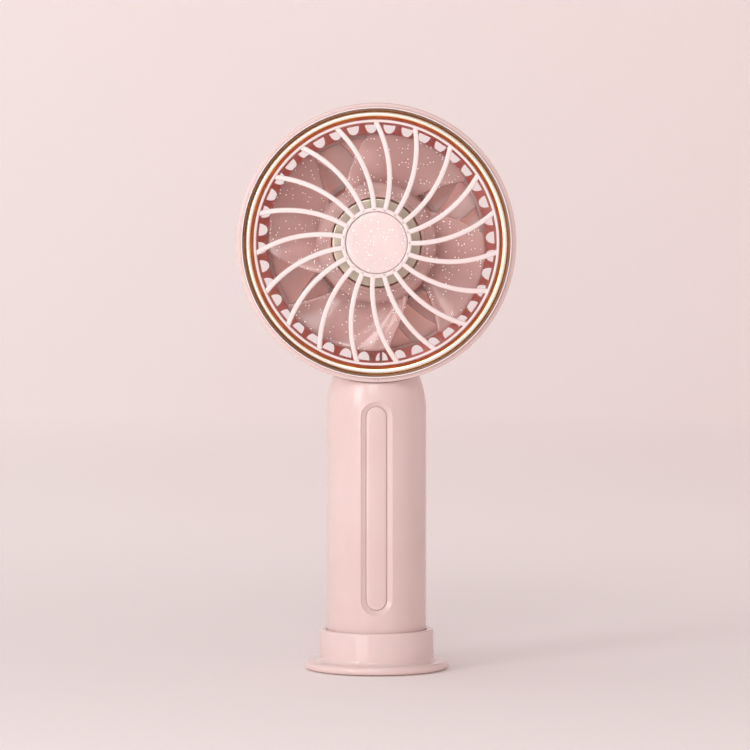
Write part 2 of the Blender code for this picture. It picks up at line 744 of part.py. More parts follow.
def handle_shells(material, saddle):
    front = handle_tube("handle_front_shell", material)
    cut(front, half_cutter("front_half_cutter", -1), saddle, recess_cutter())
    rear = handle_tube("handle_rear_shell", material)
    button_hole = rod("button_hole_cutter", BUTTON_RADIUS + GAP, (0, 12, BUTTON_Z), (0, 20, BUTTON_Z),
                      None, None, sides=32)
    led_hole = rod("led_hole_cutter", 1.5, (0, 12, LED_Z), (0, 20, LED_Z), None, None, sides=16)
    usb_mouth = [[(z, y, x + USB_Z) for x, z in capsule(3.9, 9.7, 4)] for y in (12, 20)]
    usb_hole = loft("usb_hole_cutter", usb_mouth, None, None)
    cut(rear, half_cutter("rear_half_cutter", 1), saddle, button_hole, led_hole, usb_hole)


def handle_inlay(material):
    """Strip that fills the slot from inside, with a flange behind the wall."""
    width = SLOT_WIDTH - 2 * GAP
    length = RECESS_LENGTH - RECESS_WIDTH + width
    stages = ((-16.5, width - 0.8, length - 0.8), (-16.1, width, length), (-14.3, width, length),
              (-14.3, width + 2.4, length + 2.0), (-13.3, width + 2.4, length + 2.0))
    sections = [[(x, y, z + RECESS_MIDDLE_Z) for x, z in capsule(w, l)] for y, w, l in stages]
    return loft("handle_inlay", sections, None, material)


def handle_end_cap(material):
    spigot = HANDLE_RADIUS - HANDLE_WALL - GAP
    seat, chamfer = SHELL_BOTTOM_Z - GAP, 0.6
    profile = [(0, 12.0), (spigot - 0.4, 12.0), (spigot, 11.6), (spigot, seat), (HANDLE_RADIUS, seat),
               (HANDLE_RADIUS, HANDLE_BOTTOM_Z + chamfer), (HANDLE_RADIUS - chamfer, HANDLE_BOTTOM_Z),
               (0, HANDLE_BOTTOM_Z)]
    cap = turned("handle_end_cap", profile, None, material, steps=SMALL_STEPS)
    sunk = [(0, 14), (1.3, 14), (1.3, 9.2), (2.2, 9.2), (2.2, 5), (0, 5)]
    for number, x in enumerate(END_SCREWS_X):
        hole = turned(f"end_cap_hole_cutter_{number + 1}", sunk, None, None, steps=10)
        hole.location.x = x * MM
        cut(cap, hole)
    return cap


def battery_tray(material):
    """Base disc and spine that carry the cell and the board."""
    disc = [(0, 15.4), (14.6, 15.4), (14.6, 12.3), (0, 12.3)]
    tray = turned("battery_tray", disc, None, material, steps=32)
    spine = box("tray_spine", (-9.5, 6.1, 13.0), (9.5, 7.9, 90.0), None, None)
    holes = [rod(f"tray_hole_cutter_{i + 1}", 1.3, (x, 0, 10), (x, 0, 14.8), None, None, sides=12)
             for i, x in enumerate(END_SCREWS_X)]
    return cut(join(tray, spine), *holes)


def battery_cell(material):
    """A round cell with its raised positive end upward."""
    bottom, top = CELL_BOTTOM_Z, CELL_BOTTOM_Z + CELL_LENGTH
    profile = [(0, top), (2.8, top), (3.2, top - 0.8), (8.2, top - 1.0), (CELL_RADIUS, top - 1.8),
               (CELL_RADIUS, bottom + 0.6), (CELL_RADIUS - 0.6, bottom), (0, bottom)]
    cell = turned("battery_cell", profile, None, material, steps=32)
    cell.location.y = CELL_Y * MM
    return cell


def make_board(finishes):
    steel, black = finishes["steel"], finishes["dark_plastic"]
    back = BOARD_Y + BOARD_THICKNESS
    front_of = back + GAP
    box("main_board", (-11, BOARD_Y, 18), (11, back, 88), None, finishes["board"])
    box("controller_chip", (-8.5, front_of, 50), (-2.5, front_of + 1.4, 56), None, black, bevel=0.2)
    box("charge_inductor", (3, front_of, 48), (8, front_of + 2.2, 53), None, black, bevel=0.5)
    box("status_led", (-0.9, front_of, LED_Z - 1.1), (0.9, front_of + 0.9, LED_Z + 1.1), None,
        finishes["clear"], bevel=0.2)
    lens = [(0, 17.45), (1.2, 17.3), (1.2, 15.0), (2.0, 15.0), (2.0, 14.2), (0, 14.2)]
    window = turned("led_window", lens, None, finishes["clear"], steps=16)
    window.rotation_euler.x = -math.pi / 2
    window.location.z = LED_Z * MM
    depths = ((front_of, 3.2, 8.9), (16.9, 3.2, 8.9), (16.9, 2.6, 8.3), (front_of + 1.2, 2.6, 8.3))
    sections = [[(z, y, x + USB_Z) for x, z in capsule(w, l, 4)] for y, w, l in depths]
    loft("usb_socket", sections, None, steel)
    switch = box("button_switch", (-3, front_of, BUTTON_Z - 3), (3, 12.6, BUTTON_Z + 3), None, steel)
    well = rod("switch_well_cutter", 2.0, (0, 10.8, BUTTON_Z), (0, 14, BUTTON_Z), None, None, sides=16)
    cut(switch, well)


def power_button(material, dark):
    """Round key with a flange behind the shell's wall, and the switch's plunger."""
    profile = [(0, 18.1), (3.6, 18.0), (4.6, 17.8), (BUTTON_RADIUS, 17.4), (BUTTON_RADIUS, 13.9),
               (5.9, 13.9), (5.9, 13.2), (0, 13.2)]
    key = turned("power_button", profile, BUTTON, material, steps=32)
    rod("switch_plunger", 1.7, (0, 0, 11.5), (0, 0, 12.9), BUTTON, dark, sides=16)
    return key


def make_wires(finishes):
    """Cell wires to the board, and motor wires through the neck and behind the impeller."""
    tab_top = CELL_BOTTOM_Z + CELL_LENGTH + GAP
    tab_low = CELL_BOTTOM_Z - GAP - 0.2
    steel = finishes["steel"]
    box("battery_tab_plus", (-2.5, CELL_Y - 2.5, tab_top), (2.5, CELL_Y + 5.5, tab_top + 0.2), None, steel)
    box("battery_tab_minus", (-2.5, CELL_Y - 4, tab_low), (2.5, CELL_Y + 4, tab_low + 0.2), None, steel)
    lead = 0.5
    red, black = finishes["red_wire"], finishes["black_wire"]
    start = tab_top + 0.2 + GAP + lead
    wire("battery_wire_red", [(0, CELL_Y, start), (3, CELL_Y + 3, start + 2.2), (8.5, 2.0, 87.5),
                              (11.2, 5.0, 87.5), (10.5, 8.1, 85.0)], lead, red)
    wire("battery_wire_black", [(0, -5.0, 16.1), (3.0, -10.5, 16.1), (7.3, -10.9, 17.5), (10.5, -6.0, 20.0),
                                (11.2, 0.0, 22.5), (10.8, 5.0, 24.5), (10.4, 8.1, 26.0)], lead, black)
    for name, side, material in (("motor_wire_red", -1, red), ("motor_wire_black", 1, black)):
        x = side * 1.6
        route = [(x, 11.2, 86.0), (x, 11.4, 89.0), (x, 7.0, 94.0), (x, 6.0, 99.0), (x, 6.2, 104.0),
                 (x, 10.0, 108.5), (x, 12.5, 113.0), (x, 12.5, 125.0), (x, 12.4, 134.0), (x, 11.6, 138.0),
                 (x, 10.3, 140.0)]
        wire(name, route, lead, material)


# ---------------------------------------------------------------- base

def base_cup(material):
    """Collar and socket on a round-edged flange, recessed below for the foot pad."""
    half = FLANGE_THICKNESS / 2
    flange_top = FLANGE_BOTTOM_Z + FLANGE_THICKNESS
    edge = arc(FLANGE_RADIUS - half, FLANGE_BOTTOM_Z + half, half, 90, -90, 4)
    fillet = [(COLLAR_RADIUS, flange_top + 1.7), (COLLAR_RADIUS + 1.2, flange_top + 0.2)]
    under = PAD_THICKNESS + GAP
    profile = [(SOCKET_RADIUS + 0.3, COLLAR_TOP_Z), (COLLAR_RADIUS - 0.775, COLLAR_TOP_Z),
               (COLLAR_RADIUS, COLLAR_TOP_Z - 0.7), *fillet, *edge,
               (PAD_RADIUS + GAP, FLANGE_BOTTOM_Z), (PAD_RADIUS + GAP, under), (0, under)]
    inside = [(0, FLOOR_Z), (WELL_RADIUS, FLOOR_Z), (WELL_RADIUS, LEDGE_Z), (SOCKET_RADIUS, LEDGE_Z),
              (SOCKET_RADIUS, GROOVE_Z[0]), (GROOVE_RADIUS, GROOVE_Z[0]), (GROOVE_RADIUS, GROOVE_Z[1]),
              (SOCKET_RADIUS, GROOVE_Z[1]), (SOCKET_RADIUS, COLLAR_TOP_Z - 0.4)]
    return turned("base_cup", inside + profile, None, material)


def make_base(finishes):
    base_cup(finishes["pink"])
    ring("base_grip_ring", SOCKET_RADIUS, GROOVE_RADIUS - GAP, GROOVE_Z[0] + GAP, GROOVE_Z[1] - GAP, None,
         finishes["rubber"], steps=SMALL_STEPS)
    pad = [(0, PAD_THICKNESS), (PAD_RADIUS - 0.3, PAD_THICKNESS), (PAD_RADIUS, PAD_THICKNESS - 0.3),
           (PAD_RADIUS, 0.3), (PAD_RADIUS - 0.3, 0), (0, 0)]
    turned("foot_pad", pad, None, finishes["rubber"], steps=SMALL_STEPS)


# ---------------------------------------------------------------- assembly

def make_finishes():
    return {
        "pink": new_material("gloss_pink_plastic", (0.84, 0.62, 0.58), 0.3),
        "pale": new_material("pale_pink_plastic", (0.93, 0.80, 0.78), 0.3),
        "rose": new_material("translucent_rose_plastic", (0.78, 0.45, 0.43), 0.2),
        "glitter": new_material("glitter_pink", (0.88, 0.72, 0.70), 0.3),
        "gold": new_material("gold_plated_trim", (0.75, 0.48, 0.25), 0.15, 1.0),
        "can": new_material("plated_steel_can", (0.55, 0.52, 0.47), 0.35, 1.0),
        "steel": new_material("bright_steel", (0.62, 0.62, 0.62), 0.3, 1.0),
        "brass": new_material("turned_brass", (0.70, 0.55, 0.30), 0.3, 1.0),
        "copper": new_material("enamelled_copper", (0.60, 0.28, 0.15), 0.4, 1.0),
        "magnet": new_material("bonded_magnet", (0.09, 0.09, 0.10), 0.6),
        "laminations": new_material("silicon_steel", (0.30, 0.31, 0.33), 0.5, 1.0),
        "board": new_material("green_board", (0.05, 0.22, 0.10), 0.5),
        "dark_plastic": new_material("black_plastic", (0.03, 0.03, 0.03), 0.5),
        "cell": new_material("cell_sleeve", (0.05, 0.20, 0.42), 0.35),
        "clear": new_material("clear_plastic", (0.9, 0.9, 0.9), 0.1),
        "rubber": new_material("silicone_rubber", (0.62, 0.45, 0.43), 0.8),
        "red_wire": new_material("red_insulation", (0.6, 0.03, 0.03), 0.45),
        "black_wire": new_material("black_insulation", (0.02, 0.02, 0.02), 0.45),
    }


clear_scene()
PARTS = new_collection("handheld_fan")
CUTTERS = new_collection("cutters")
HEAD = new_frame("head_frame", (0, 0, HEAD_CENTRE_Z), turn_x_deg=90)
ROTOR = new_frame("rotor_axis", (0, 0, HEAD_CENTRE_Z), turn_x_deg=90)
BUTTON = new_frame("button_axis", (0, 0, BUTTON_Z), turn_x_deg=-90)


def main():
    finishes = make_finishes()
    front_bezel(HEAD, finishes["pale"])
    gold_ring(HEAD, finishes["gold"])
    front_grille(HEAD, finishes["pale"])
    hub_cap(HEAD, finishes["glitter"])
    head_housing(HEAD, finishes["pink"])
    rear_cover(HEAD, finishes["pink"])
    impeller(ROTOR, finishes["rose"])
    make_motor(HEAD, finishes)
    handle_shells(finishes["pink"], saddle_cutter())
    handle_inlay(finishes["pink"])
    handle_end_cap(finishes["pink"])
    for number, x in enumerate(END_SCREWS_X):
        item = screw(f"end_cap_screw_{number + 1}", -7.9, 5.4, None, finishes["steel"])
        item.rotation_euler.x = math.pi
        item.location = Vector((x, 0, 0)) * MM
    battery_tray(finishes["dark_plastic"])
    battery_cell(finishes["cell"])
    make_board(finishes)
    make_wires(finishes)
    power_button(finishes["pale"], finishes["dark_plastic"])
    make_base(finishes)


main()
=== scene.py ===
"""Looks of the handheld fan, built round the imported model.

Sizes are in millimetres where a name says nothing else; MM turns them into metres
when a mesh is made. Round pieces of the head are drawn in the head's own space:
X to the right and Y up as seen from the front, Z forward along the rotor's axis.
"""
import json
import math

import bmesh
import bpy
from mathutils import Matrix, Vector


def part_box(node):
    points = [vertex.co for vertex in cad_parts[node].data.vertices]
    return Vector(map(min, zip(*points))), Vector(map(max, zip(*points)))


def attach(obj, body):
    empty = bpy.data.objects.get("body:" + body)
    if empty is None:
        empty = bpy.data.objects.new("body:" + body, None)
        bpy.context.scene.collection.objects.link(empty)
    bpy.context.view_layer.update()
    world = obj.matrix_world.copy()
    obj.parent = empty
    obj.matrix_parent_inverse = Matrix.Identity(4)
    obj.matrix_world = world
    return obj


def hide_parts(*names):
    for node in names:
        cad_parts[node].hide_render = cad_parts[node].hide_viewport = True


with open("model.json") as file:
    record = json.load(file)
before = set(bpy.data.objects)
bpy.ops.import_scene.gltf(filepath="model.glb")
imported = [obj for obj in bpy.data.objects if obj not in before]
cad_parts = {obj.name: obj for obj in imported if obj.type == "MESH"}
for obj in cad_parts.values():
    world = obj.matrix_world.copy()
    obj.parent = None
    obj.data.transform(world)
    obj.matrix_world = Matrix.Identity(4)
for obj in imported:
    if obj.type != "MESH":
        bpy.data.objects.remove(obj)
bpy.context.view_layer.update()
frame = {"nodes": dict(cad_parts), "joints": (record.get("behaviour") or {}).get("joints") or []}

MM = 0.001


# ---------------------------------------------------------------- sizes from the frame

def corners(node):
    """Lowest and highest corner of a CAD node in millimetres."""
    low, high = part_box(node)
    return Vector(low) / MM, Vector(high) / MM


def across(node):
    """Radius of a round CAD node that lies about the X = 0 plane."""
    low, high = corners(node)
    return (high.x - low.x) / 2


SPIN = next(joint for joint in frame["joints"] if joint["name"] == "rotor_spin")
HEAD_Z = SPIN["pos_m"][2] / MM
HEAD_PLACE = Matrix.Translation((0, 0, HEAD_Z)) @ Matrix.Rotation(math.pi / 2, 4, "X")
UPRIGHT = Matrix.Identity(4)

HEAD_RADIUS = across("head_housing")
HEAD_FRONT = -corners("front_bezel")[0].y
HEAD_REAR = -corners("rear_cover")[1].y
HOUSING_REAR = -corners("head_housing")[1].y
HOUSING_FRONT = -corners("head_housing")[0].y
BEZEL_RADIUS = across("front_bezel")
GOLD_RADIUS = across("gold_ring")
GRILLE_RADIUS = across("front_grille")
CAP_RADIUS = across("hub_cap")
CAN_RADIUS = across("rotor_can")
COVER_RADIUS = across("rear_cover")
HANDLE_RADIUS = across("handle_front_shell")
SHELL_BOTTOM = corners("handle_front_shell")[0].z
CAP_BOTTOM = corners("handle_end_cap")[0].z
FLANGE_RADIUS = across("base_cup")
BASE_BOTTOM, BASE_TOP = (corner.z for corner in corners("base_cup"))
PAD_RADIUS = across("foot_pad")

# Sizes that the CAD's boxes do not show
GAP = 0.3
HOUSING_BORE = 46.0
REBATE_RADIUS = BEZEL_RADIUS + 0.06
REBATE_FLOOR = 12.8
TRIM_WIDTH = 3.2
STUD_CENTRE = 47.8
STUD_RADIUS = 0.5
HUB_RADIUS = 12.3
RIM_BORE = 41.7
SPOKES = 19
FIRST_SPOKE_DEG = 75.0
SPOKE_WIDTH = 1.75
SPOKE_BEND = 41.3            # radius of the arc that a spoke follows
SPOKE_SWEEP_DEG = 42.7
GRILLE_THICKNESS = 2.8
GRILLE_DOME = 1.6
GRILLE_RIM_FRONT = 17.4
VENTS = 40
VENT_WIDTH = 4.3
VENT_OUTER = 42.0
VENT_INNER = 39.0
VANES = 20
VANE_RING = 37.6
VANE_HUB = 23.5
VANE_SKEW_DEG = 0.79
COVER_WALL = 1.8
BLADES = 4
BLADE_ROOT = 20.3
BLADE_TIP = 39.2
FIRST_BLADE_DEG = 8.6
ROTOR_HUB = 21.1
SHELL_WALL = 2.0
TAPER_Z = 91.0
TAPER_BEND = 34.0
TAPER_DEG = 19.8
CROWN_BEND = 4.0
RECESS_WIDTH = 10.7
RECESS_LENGTH = 74.5
RECESS_Z = 57.55
SLOT_WIDTH = 7.3
BUTTON_Z = 78.0
BUTTON_RADIUS = 5.0
LED_Z = 66.0
USB_Z = 27.0
COLLAR_RADIUS = 20.175
FLANGE_THICKNESS = 2.8
CRUSH_RIBS = 48
FOOT_STUDS = 12
SOCKET_RADIUS = HANDLE_RADIUS + GAP


# ---------------------------------------------------------------- mesh helpers

def finish_mesh(name, mesh, material, place=None, sharp_deg=32):
    """Name a mesh's object, put the place in its vertices and shade it."""
    if place is not None:
        mesh.transform(Matrix.Scale(MM, 4) @ place)
    mesh.shade_smooth()
    mesh.set_sharp_from_angle(angle=math.radians(sharp_deg))
    mesh.materials.clear()
    mesh.materials.append(material)
    piece = bpy.data.objects.new(name, mesh)
    bpy.context.scene.collection.objects.link(piece)
    return piece


def from_work(name, work, material, place=UPRIGHT, sharp_deg=32):
    """Turn a bmesh in millimetres into a finished object."""
    bmesh.ops.remove_doubles(work, verts=work.verts, dist=0.001)
    bmesh.ops.recalc_face_normals(work, faces=work.faces)
    mesh = bpy.data.meshes.new(name)
    work.to_mesh(mesh)
    work.free()
    return finish_mesh(name, mesh, material, place, sharp_deg)


def rounded(corner_list, steps=5):
    """Points of an outline from (x, y, fillet radius) corners, fillets as arcs."""
    points = []
    count = len(corner_list)
    for i, (x, y, fillet) in enumerate(corner_list):
        here = Vector((x, y))
        if not fillet:
            points.append(here)
            continue
        before = Vector(corner_list[i - 1][:2]) - here
        after = Vector(corner_list[(i + 1) % count][:2]) - here
        half = before.angle(after) / 2
        reach = min(fillet / math.tan(half), before.length * 0.49, after.length * 0.49)
        radius = reach * math.tan(half)
        centre = here + (before.normalized() + after.normalized()).normalized() * (radius / math.sin(half))
        start = here + before.normalized() * reach - centre
        sweep = (here + after.normalized() * reach - centre).angle_signed(start)
        for step in range(steps + 1):
            points.append(centre + Matrix.Rotation(sweep * step / steps, 2) @ start)
    return points


def bridge(work, near, far, closed=True):
    """Faces between two rows of vertices."""
    count = len(near)
    for i in range(count if closed else count - 1):
        after = (i + 1) % count
        work.faces.new((near[i], near[after], far[after], far[i]))


def turned(name, corner_list, material, place=UPRIGHT, steps=160, closed=True, fillet_steps=5, sharp_deg=32):
    """Turn an outline of (radius, height, fillet) corners about Z."""
    work = bmesh.new()
    outline = rounded(corner_list, fillet_steps)
    rows = []
    for step in range(steps):
        angle = 2 * math.pi * step / steps
        rows.append([work.verts.new((r * math.cos(angle), r * math.sin(angle), z)) for r, z in outline])
    for step in range(steps):
        bridge(work, rows[step], rows[(step + 1) % steps], closed)
    bmesh.ops.remove_doubles(work, verts=work.verts, dist=0.0005)
    bmesh.ops.dissolve_degenerate(work, edges=work.edges, dist=0.0001)
    return from_work(name, work, material, place, sharp_deg)


def skin(work, sections):
    """Skin closed sections that have equal counts of points, and cap both ends."""
    rows = [[work.verts.new(point) for point in section] for section in sections]
    for near, far in zip(rows, rows[1:]):
        bridge(work, near, far)
    work.faces.new(rows[0])
    work.faces.new(rows[-1])


def lofted(name, sections, material, sharp_deg=32):
    """One skinned body as a finished object."""
    work = bmesh.new()
    skin(work, sections)
    return from_work(name, work, material, sharp_deg=sharp_deg)


def rounded_box(name, low, high, bevel, material):
    """A box between two corners, with its edges rounded."""
    work = bmesh.new()
    bmesh.ops.create_cube(work, size=1)
    low, high = Vector(low), Vector(high)
    bmesh.ops.transform(work, matrix=Matrix.Diagonal((*(high - low), 1)), verts=work.verts)
    bmesh.ops.translate(work, vec=(low + high) / 2, verts=work.verts)
    bmesh.ops.bevel(work, geom=work.edges, offset=bevel, segments=2, affect="EDGES")
    return from_work(name, work, material)


def polar(radius, degrees):
    """X and Y of a point at a radius and an angle."""
    angle = math.radians(degrees)
    return radius * math.cos(angle), radius * math.sin(angle)


def capsule(width, length, ends=16):
    """Outline of a slot with round ends, long side along Y."""
    radius = width / 2
    middle = (length - width) / 2
    points = []
    for start, offset in ((0, middle), (180, -middle)):
        for step in range(ends + 1):
            x, y = polar(radius, start + 180 * step / ends)
            points.append((x, y + offset))
    return points


def boolean(piece, operation, *others):
    """Cut or join finished meshes, and remove the ones used."""
    for other in others:
        modifier = piece.modifiers.new(operation, "BOOLEAN")
        modifier.object = other
        modifier.operation = operation
        modifier.solver = "EXACT"
    bake(piece)
    for other in others:
        bpy.data.objects.remove(other)
    return piece


def bake(piece, sharp_deg=32):
    """Replace a piece's mesh by what its modifiers make of it, and drop them."""
    bpy.context.view_layer.update()
    evaluated = piece.evaluated_get(bpy.context.evaluated_depsgraph_get())
    mesh = bpy.data.meshes.new_from_object(evaluated)
    material = piece.data.materials[0]
    piece.modifiers.clear()
    piece.data = mesh
    mesh.materials.clear()
    mesh.materials.append(material)
    mesh.shade_smooth()
    mesh.set_sharp_from_angle(angle=math.radians(sharp_deg))
    return piece


def soften(piece, width):
    """Round a piece's sharp edges."""
    bevel = piece.modifiers.new("Rounding", "BEVEL")
    bevel.width = width * MM
    bevel.segments = 2
    bevel.limit_method = "ANGLE"
    bevel.angle_limit = math.radians(40)
    bevel.use_clamp_overlap = True
    return bake(piece)


# ---------------------------------------------------------------- node helpers

def linear(hex_colour):
    """An sRGB hex colour as linear RGBA."""
    values = [int(hex_colour[i:i + 2], 16) / 255 for i in (1, 3, 5)]
    return (*[v / 12.92 if v <= 0.04045 else ((v + 0.055) / 1.055) ** 2.4 for v in values], 1)


def feed(tree, node, links):
    """Fill a node's inputs, each from a node's first output in use, a socket, a value or a hex colour."""
    for key, value in links.items():
        if isinstance(value, bpy.types.Node):
            value = next(socket for socket in value.outputs if socket.enabled)
        if isinstance(value, bpy.types.NodeSocket):
            tree.links.new(value, node.inputs[key])
        else:
            node.inputs[key].default_value = linear(value) if isinstance(value, str) else value
    return node


def add(tree, kind, links=None, **settings):
    """Add a node with its properties set and its inputs fed."""
    made = tree.nodes.new(kind)
    for name, value in settings.items():
        setattr(made, name, value)
    return feed(tree, made, links or {})


def new_shader(name, **constants):
    """A material with one Principled shader, and the Object coordinates to pattern it by."""
    material = bpy.data.materials.new(name)
    material.use_nodes = True
    tree = material.node_tree
    shader = tree.nodes["Principled BSDF"]
    for socket, value in constants.items():
        shader.inputs[socket.replace("_", " ")].default_value = value
    where = add(tree, "ShaderNodeTexCoord").outputs["Object"]
    return material, tree, shader, where


def per(size_mm):
    """Texture scale whose features are about this size."""
    return 1 / (size_mm * MM)


def roughen(tree, shader, pattern, gloss, relief, strength, depth_mm):
    """Spread a shader's roughness over a range by one pattern, and emboss another into it."""
    spread = add(tree, "ShaderNodeMapRange", {"Value": pattern, "To Min": gloss[0], "To Max": gloss[1]})
    bump = add(tree, "ShaderNodeBump", {"Height": relief, "Strength": strength, "Distance": depth_mm * MM})
    feed(tree, shader, {"Roughness": spread, "Normal": bump})


def set_stops(ramp, stops):
    """Give a colour ramp its stops, as (position, linear RGBA) in order."""
    elements = ramp.color_ramp.elements
    for element, (position, colour) in zip(elements, (stops[0], stops[-1])):
        element.position = position
        element.color = colour
    for position, colour in stops[1:-1]:
        elements.new(position).color = colour


def head_radius(tree, where):
    """Distance from the rotor's axis, in millimetres."""
    centre = add(tree, "ShaderNodeVectorMath", {0: where, 1: (0, 0, -HEAD_Z * MM)}, operation="ADD")
    flat = add(tree, "ShaderNodeVectorMath", {0: centre, 1: (1 / MM, 0, 1 / MM)}, operation="MULTIPLY")
    return add(tree, "ShaderNodeVectorMath", {0: flat}, operation="LENGTH")


# ---------------------------------------------------------------- materials

def moulded_abs(name, colour, shade, roughness):
    """Injection-moulded ABS: even satin gloss, slight clouding, and a spark-eroded grain."""
    material, tree, shader, where = new_shader(name, IOR=1.54, Subsurface_Weight=0.12, Subsurface_Scale=0.004,
            Subsurface_Radius=(1.0, 0.45, 0.4))
    cloud = add(tree, "ShaderNodeTexNoise", {"Vector": where, "Scale": per(30), "Detail": 3.0})
    tint = add(tree, "ShaderNodeValToRGB", {"Fac": cloud})
    set_stops(tint, [(0.35, linear(shade)), (0.65, linear(colour))])
    # The real grain is under 0.1 mm; it is drawn coarser so that it shows.
    fine = add(tree, "ShaderNodeTexNoise", {"Vector": where, "Scale": per(0.35), "Detail": 2.0})
    feed(tree, shader, {"Base Color": tint})
    roughen(tree, shader, fine, (roughness - 0.05, roughness + 0.07), fine, 0.05, 0.02)
    return material


def milky_styrene(name, colour, shade, rim_shade_colour, roughness):
    """Unfilled styrene in thin walls that light soaks through, darker rose round the head's rim as painted
    shade, paler inside it.
    """
    material, tree, shader, where = new_shader(name, IOR=1.55, Subsurface_Weight=0.85, Subsurface_Scale=0.006,
            Subsurface_Radius=(1.0, 0.62, 0.6))
    flow = add(tree, "ShaderNodeTexNoise", {"Vector": where, "Scale": per(9), "Detail": 3.0,
            "Distortion": 0.8})
    tint = add(tree, "ShaderNodeMix", {"Factor": flow, "A": shade, "B": colour}, data_type="RGBA")
    # Painted shade: the colour darkens to the rim shade colour towards the head's rim.
    rim = add(tree, "ShaderNodeMapRange", {"Value": head_radius(tree, where), "From Min": VANE_RING - 1.6,
            "From Max": VENT_OUTER - 1.0}, interpolation_type="SMOOTHSTEP")
    rim_shaded_tint = add(tree, "ShaderNodeMix", {"Factor": rim, "A": tint, "B": rim_shade_colour}, data_type="RGBA")
    fine = add(tree, "ShaderNodeTexNoise", {"Vector": where, "Scale": per(0.5), "Detail": 2.0})
    feed(tree, shader, {"Base Color": rim_shaded_tint})
    roughen(tree, shader, flow, (roughness - 0.06, roughness + 0.08), fine, 0.08, 0.02)
    return material


def glitter_mask(tree, where, pitch, size, share):
    """1 on round flecks of foil about `size` across, in a share of cells `pitch` apart."""
    # Flecks are stretched along Y, the way that the glittered faces look, so that none is cut small.
    flat = add(tree, "ShaderNodeVectorMath", {0: where, 1: (1, 0.25, 1)}, operation="MULTIPLY")
    cells = add(tree, "ShaderNodeTexVoronoi", {"Vector": flat, "Scale": per(pitch), "Randomness": 1.0})
    near = add(tree, "ShaderNodeMath", {0: cells.outputs["Distance"], 1: size / pitch / 2},
            operation="LESS_THAN")
    pick = add(tree, "ShaderNodeSeparateColor", {0: cells.outputs["Color"]})
    chosen = add(tree, "ShaderNodeMath", {0: pick, 1: share}, operation="LESS_THAN")
    return add(tree, "ShaderNodeMath", {0: near, 1: chosen}, operation="MULTIPLY")


def glitter_plastic(name, colour, transmission, roughness, pitch=1.1, size=0.42, share=0.5):
    """Clear-based styrene with foil glitter: milky depth, and small white flecks that glow a little as
    painted glints.
    """
    material, tree, shader, where = new_shader(name, IOR=1.55, Coat_Weight=0.3, Coat_Roughness=0.08,
            Emission_Color=linear("#FFF6F4"))
    flecks = glitter_mask(tree, where, pitch, size, share)
    haze = add(tree, "ShaderNodeTexNoise", {"Vector": where, "Scale": per(12), "Detail": 2.0})
    body = add(tree, "ShaderNodeMix", {"Factor": haze, "A": colour, "B": "#FFE3E0"}, data_type="RGBA")
    skin_tint = add(tree, "ShaderNodeMix", {"Factor": flecks, "A": body, "B": "#FFFFFF"},
            data_type="RGBA")
    clear = add(tree, "ShaderNodeMapRange", {"Value": flecks, "To Min": transmission, "To Max": 0.0})
    # Painted glint: the flecks glow faintly in the pale emission colour set above.
    painted_glint = add(tree, "ShaderNodeMath", {0: flecks, 1: 0.5}, operation="MULTIPLY")
    feed(tree, shader, {"Emission Strength": painted_glint, "Base Color": skin_tint, "Transmission Weight": clear})
    roughen(tree, shader, haze, (roughness, roughness + 0.08), flecks, 0.15, 0.05)
    return material


def gold_plating():
    """Vacuum-plated trim with painted reflections in stripes across it: copper tone on the inner flank, a
    pale painted highlight on the crest and painted shade in the outer groove.
    """
    material, tree, shader, where = new_shader("plated_gold")
    radius = head_radius(tree, where)
    along = add(tree, "ShaderNodeMapRange", {"Value": radius, "From Min": GOLD_RADIUS - TRIM_WIDTH,
            "From Max": GOLD_RADIUS})
    # Painted reflections by radius: copper tone inside, a pale highlight on the crest, dark shade in the
    # groove.
    painted_reflections = add(tree, "ShaderNodeValToRGB", {"Fac": along})
    set_stops(painted_reflections, [(place, linear(colour)) for place, colour in (
        (0.0, "#C26A3C"), (0.2, "#CB6C38"), (0.3, "#F4C48E"), (0.37, "#FFFCF2"), (0.68, "#FFFCF0"),
        (0.74, "#C2A074"), (0.79, "#5A3E1E"), (0.83, "#5C4022"), (0.88, "#C79C7C"), (1.0, "#A87858"))])
    brushed = add(tree, "ShaderNodeTexNoise", {"W": radius, "Scale": 14.0, "Detail": 2.0},
            noise_dimensions="1D")
    # Metallic is lowered most on the pale crest so that its colour shows as a painted highlight.
    crest = add(tree, "ShaderNodeValToRGB", {"Fac": along})
    set_stops(crest, [(place, (grey, grey, grey, 1)) for place, grey in ((0.3, 0.9), (0.5, 0.5), (0.72,
            0.95))])
    feed(tree, shader, {"Metallic": crest, "Base Color": painted_reflections})
    roughen(tree, shader, brushed, (0.2, 0.34), brushed, 0.06, 0.03)
    return material


def turned_metal(name, colour, roughness, ring_mm=0.4):
    """Lathe-turned or drawn metal: fine rings round the rotor's axis that pull highlights into arcs."""
    material, tree, shader, where = new_shader(name, Metallic=1.0)
    rings = add(tree, "ShaderNodeTexNoise", {"W": head_radius(tree, where), "Scale": 1 / ring_mm,
            "Detail": 3.0},
            noise_dimensions="1D")
    stain = add(tree, "ShaderNodeTexNoise", {"Vector": where, "Scale": per(6), "Detail": 3.0})
    stained = (*[0.8 * v for v in linear(colour)[:3]], 1)
    tint = add(tree, "ShaderNodeMix", {"Factor": stain, "A": colour, "B": stained}, data_type="RGBA")
    feed(tree, shader, {"Base Color": tint})
    roughen(tree, shader, rings, (roughness - 0.06, roughness + 0.12), rings, 0.12, 0.03)
    return material


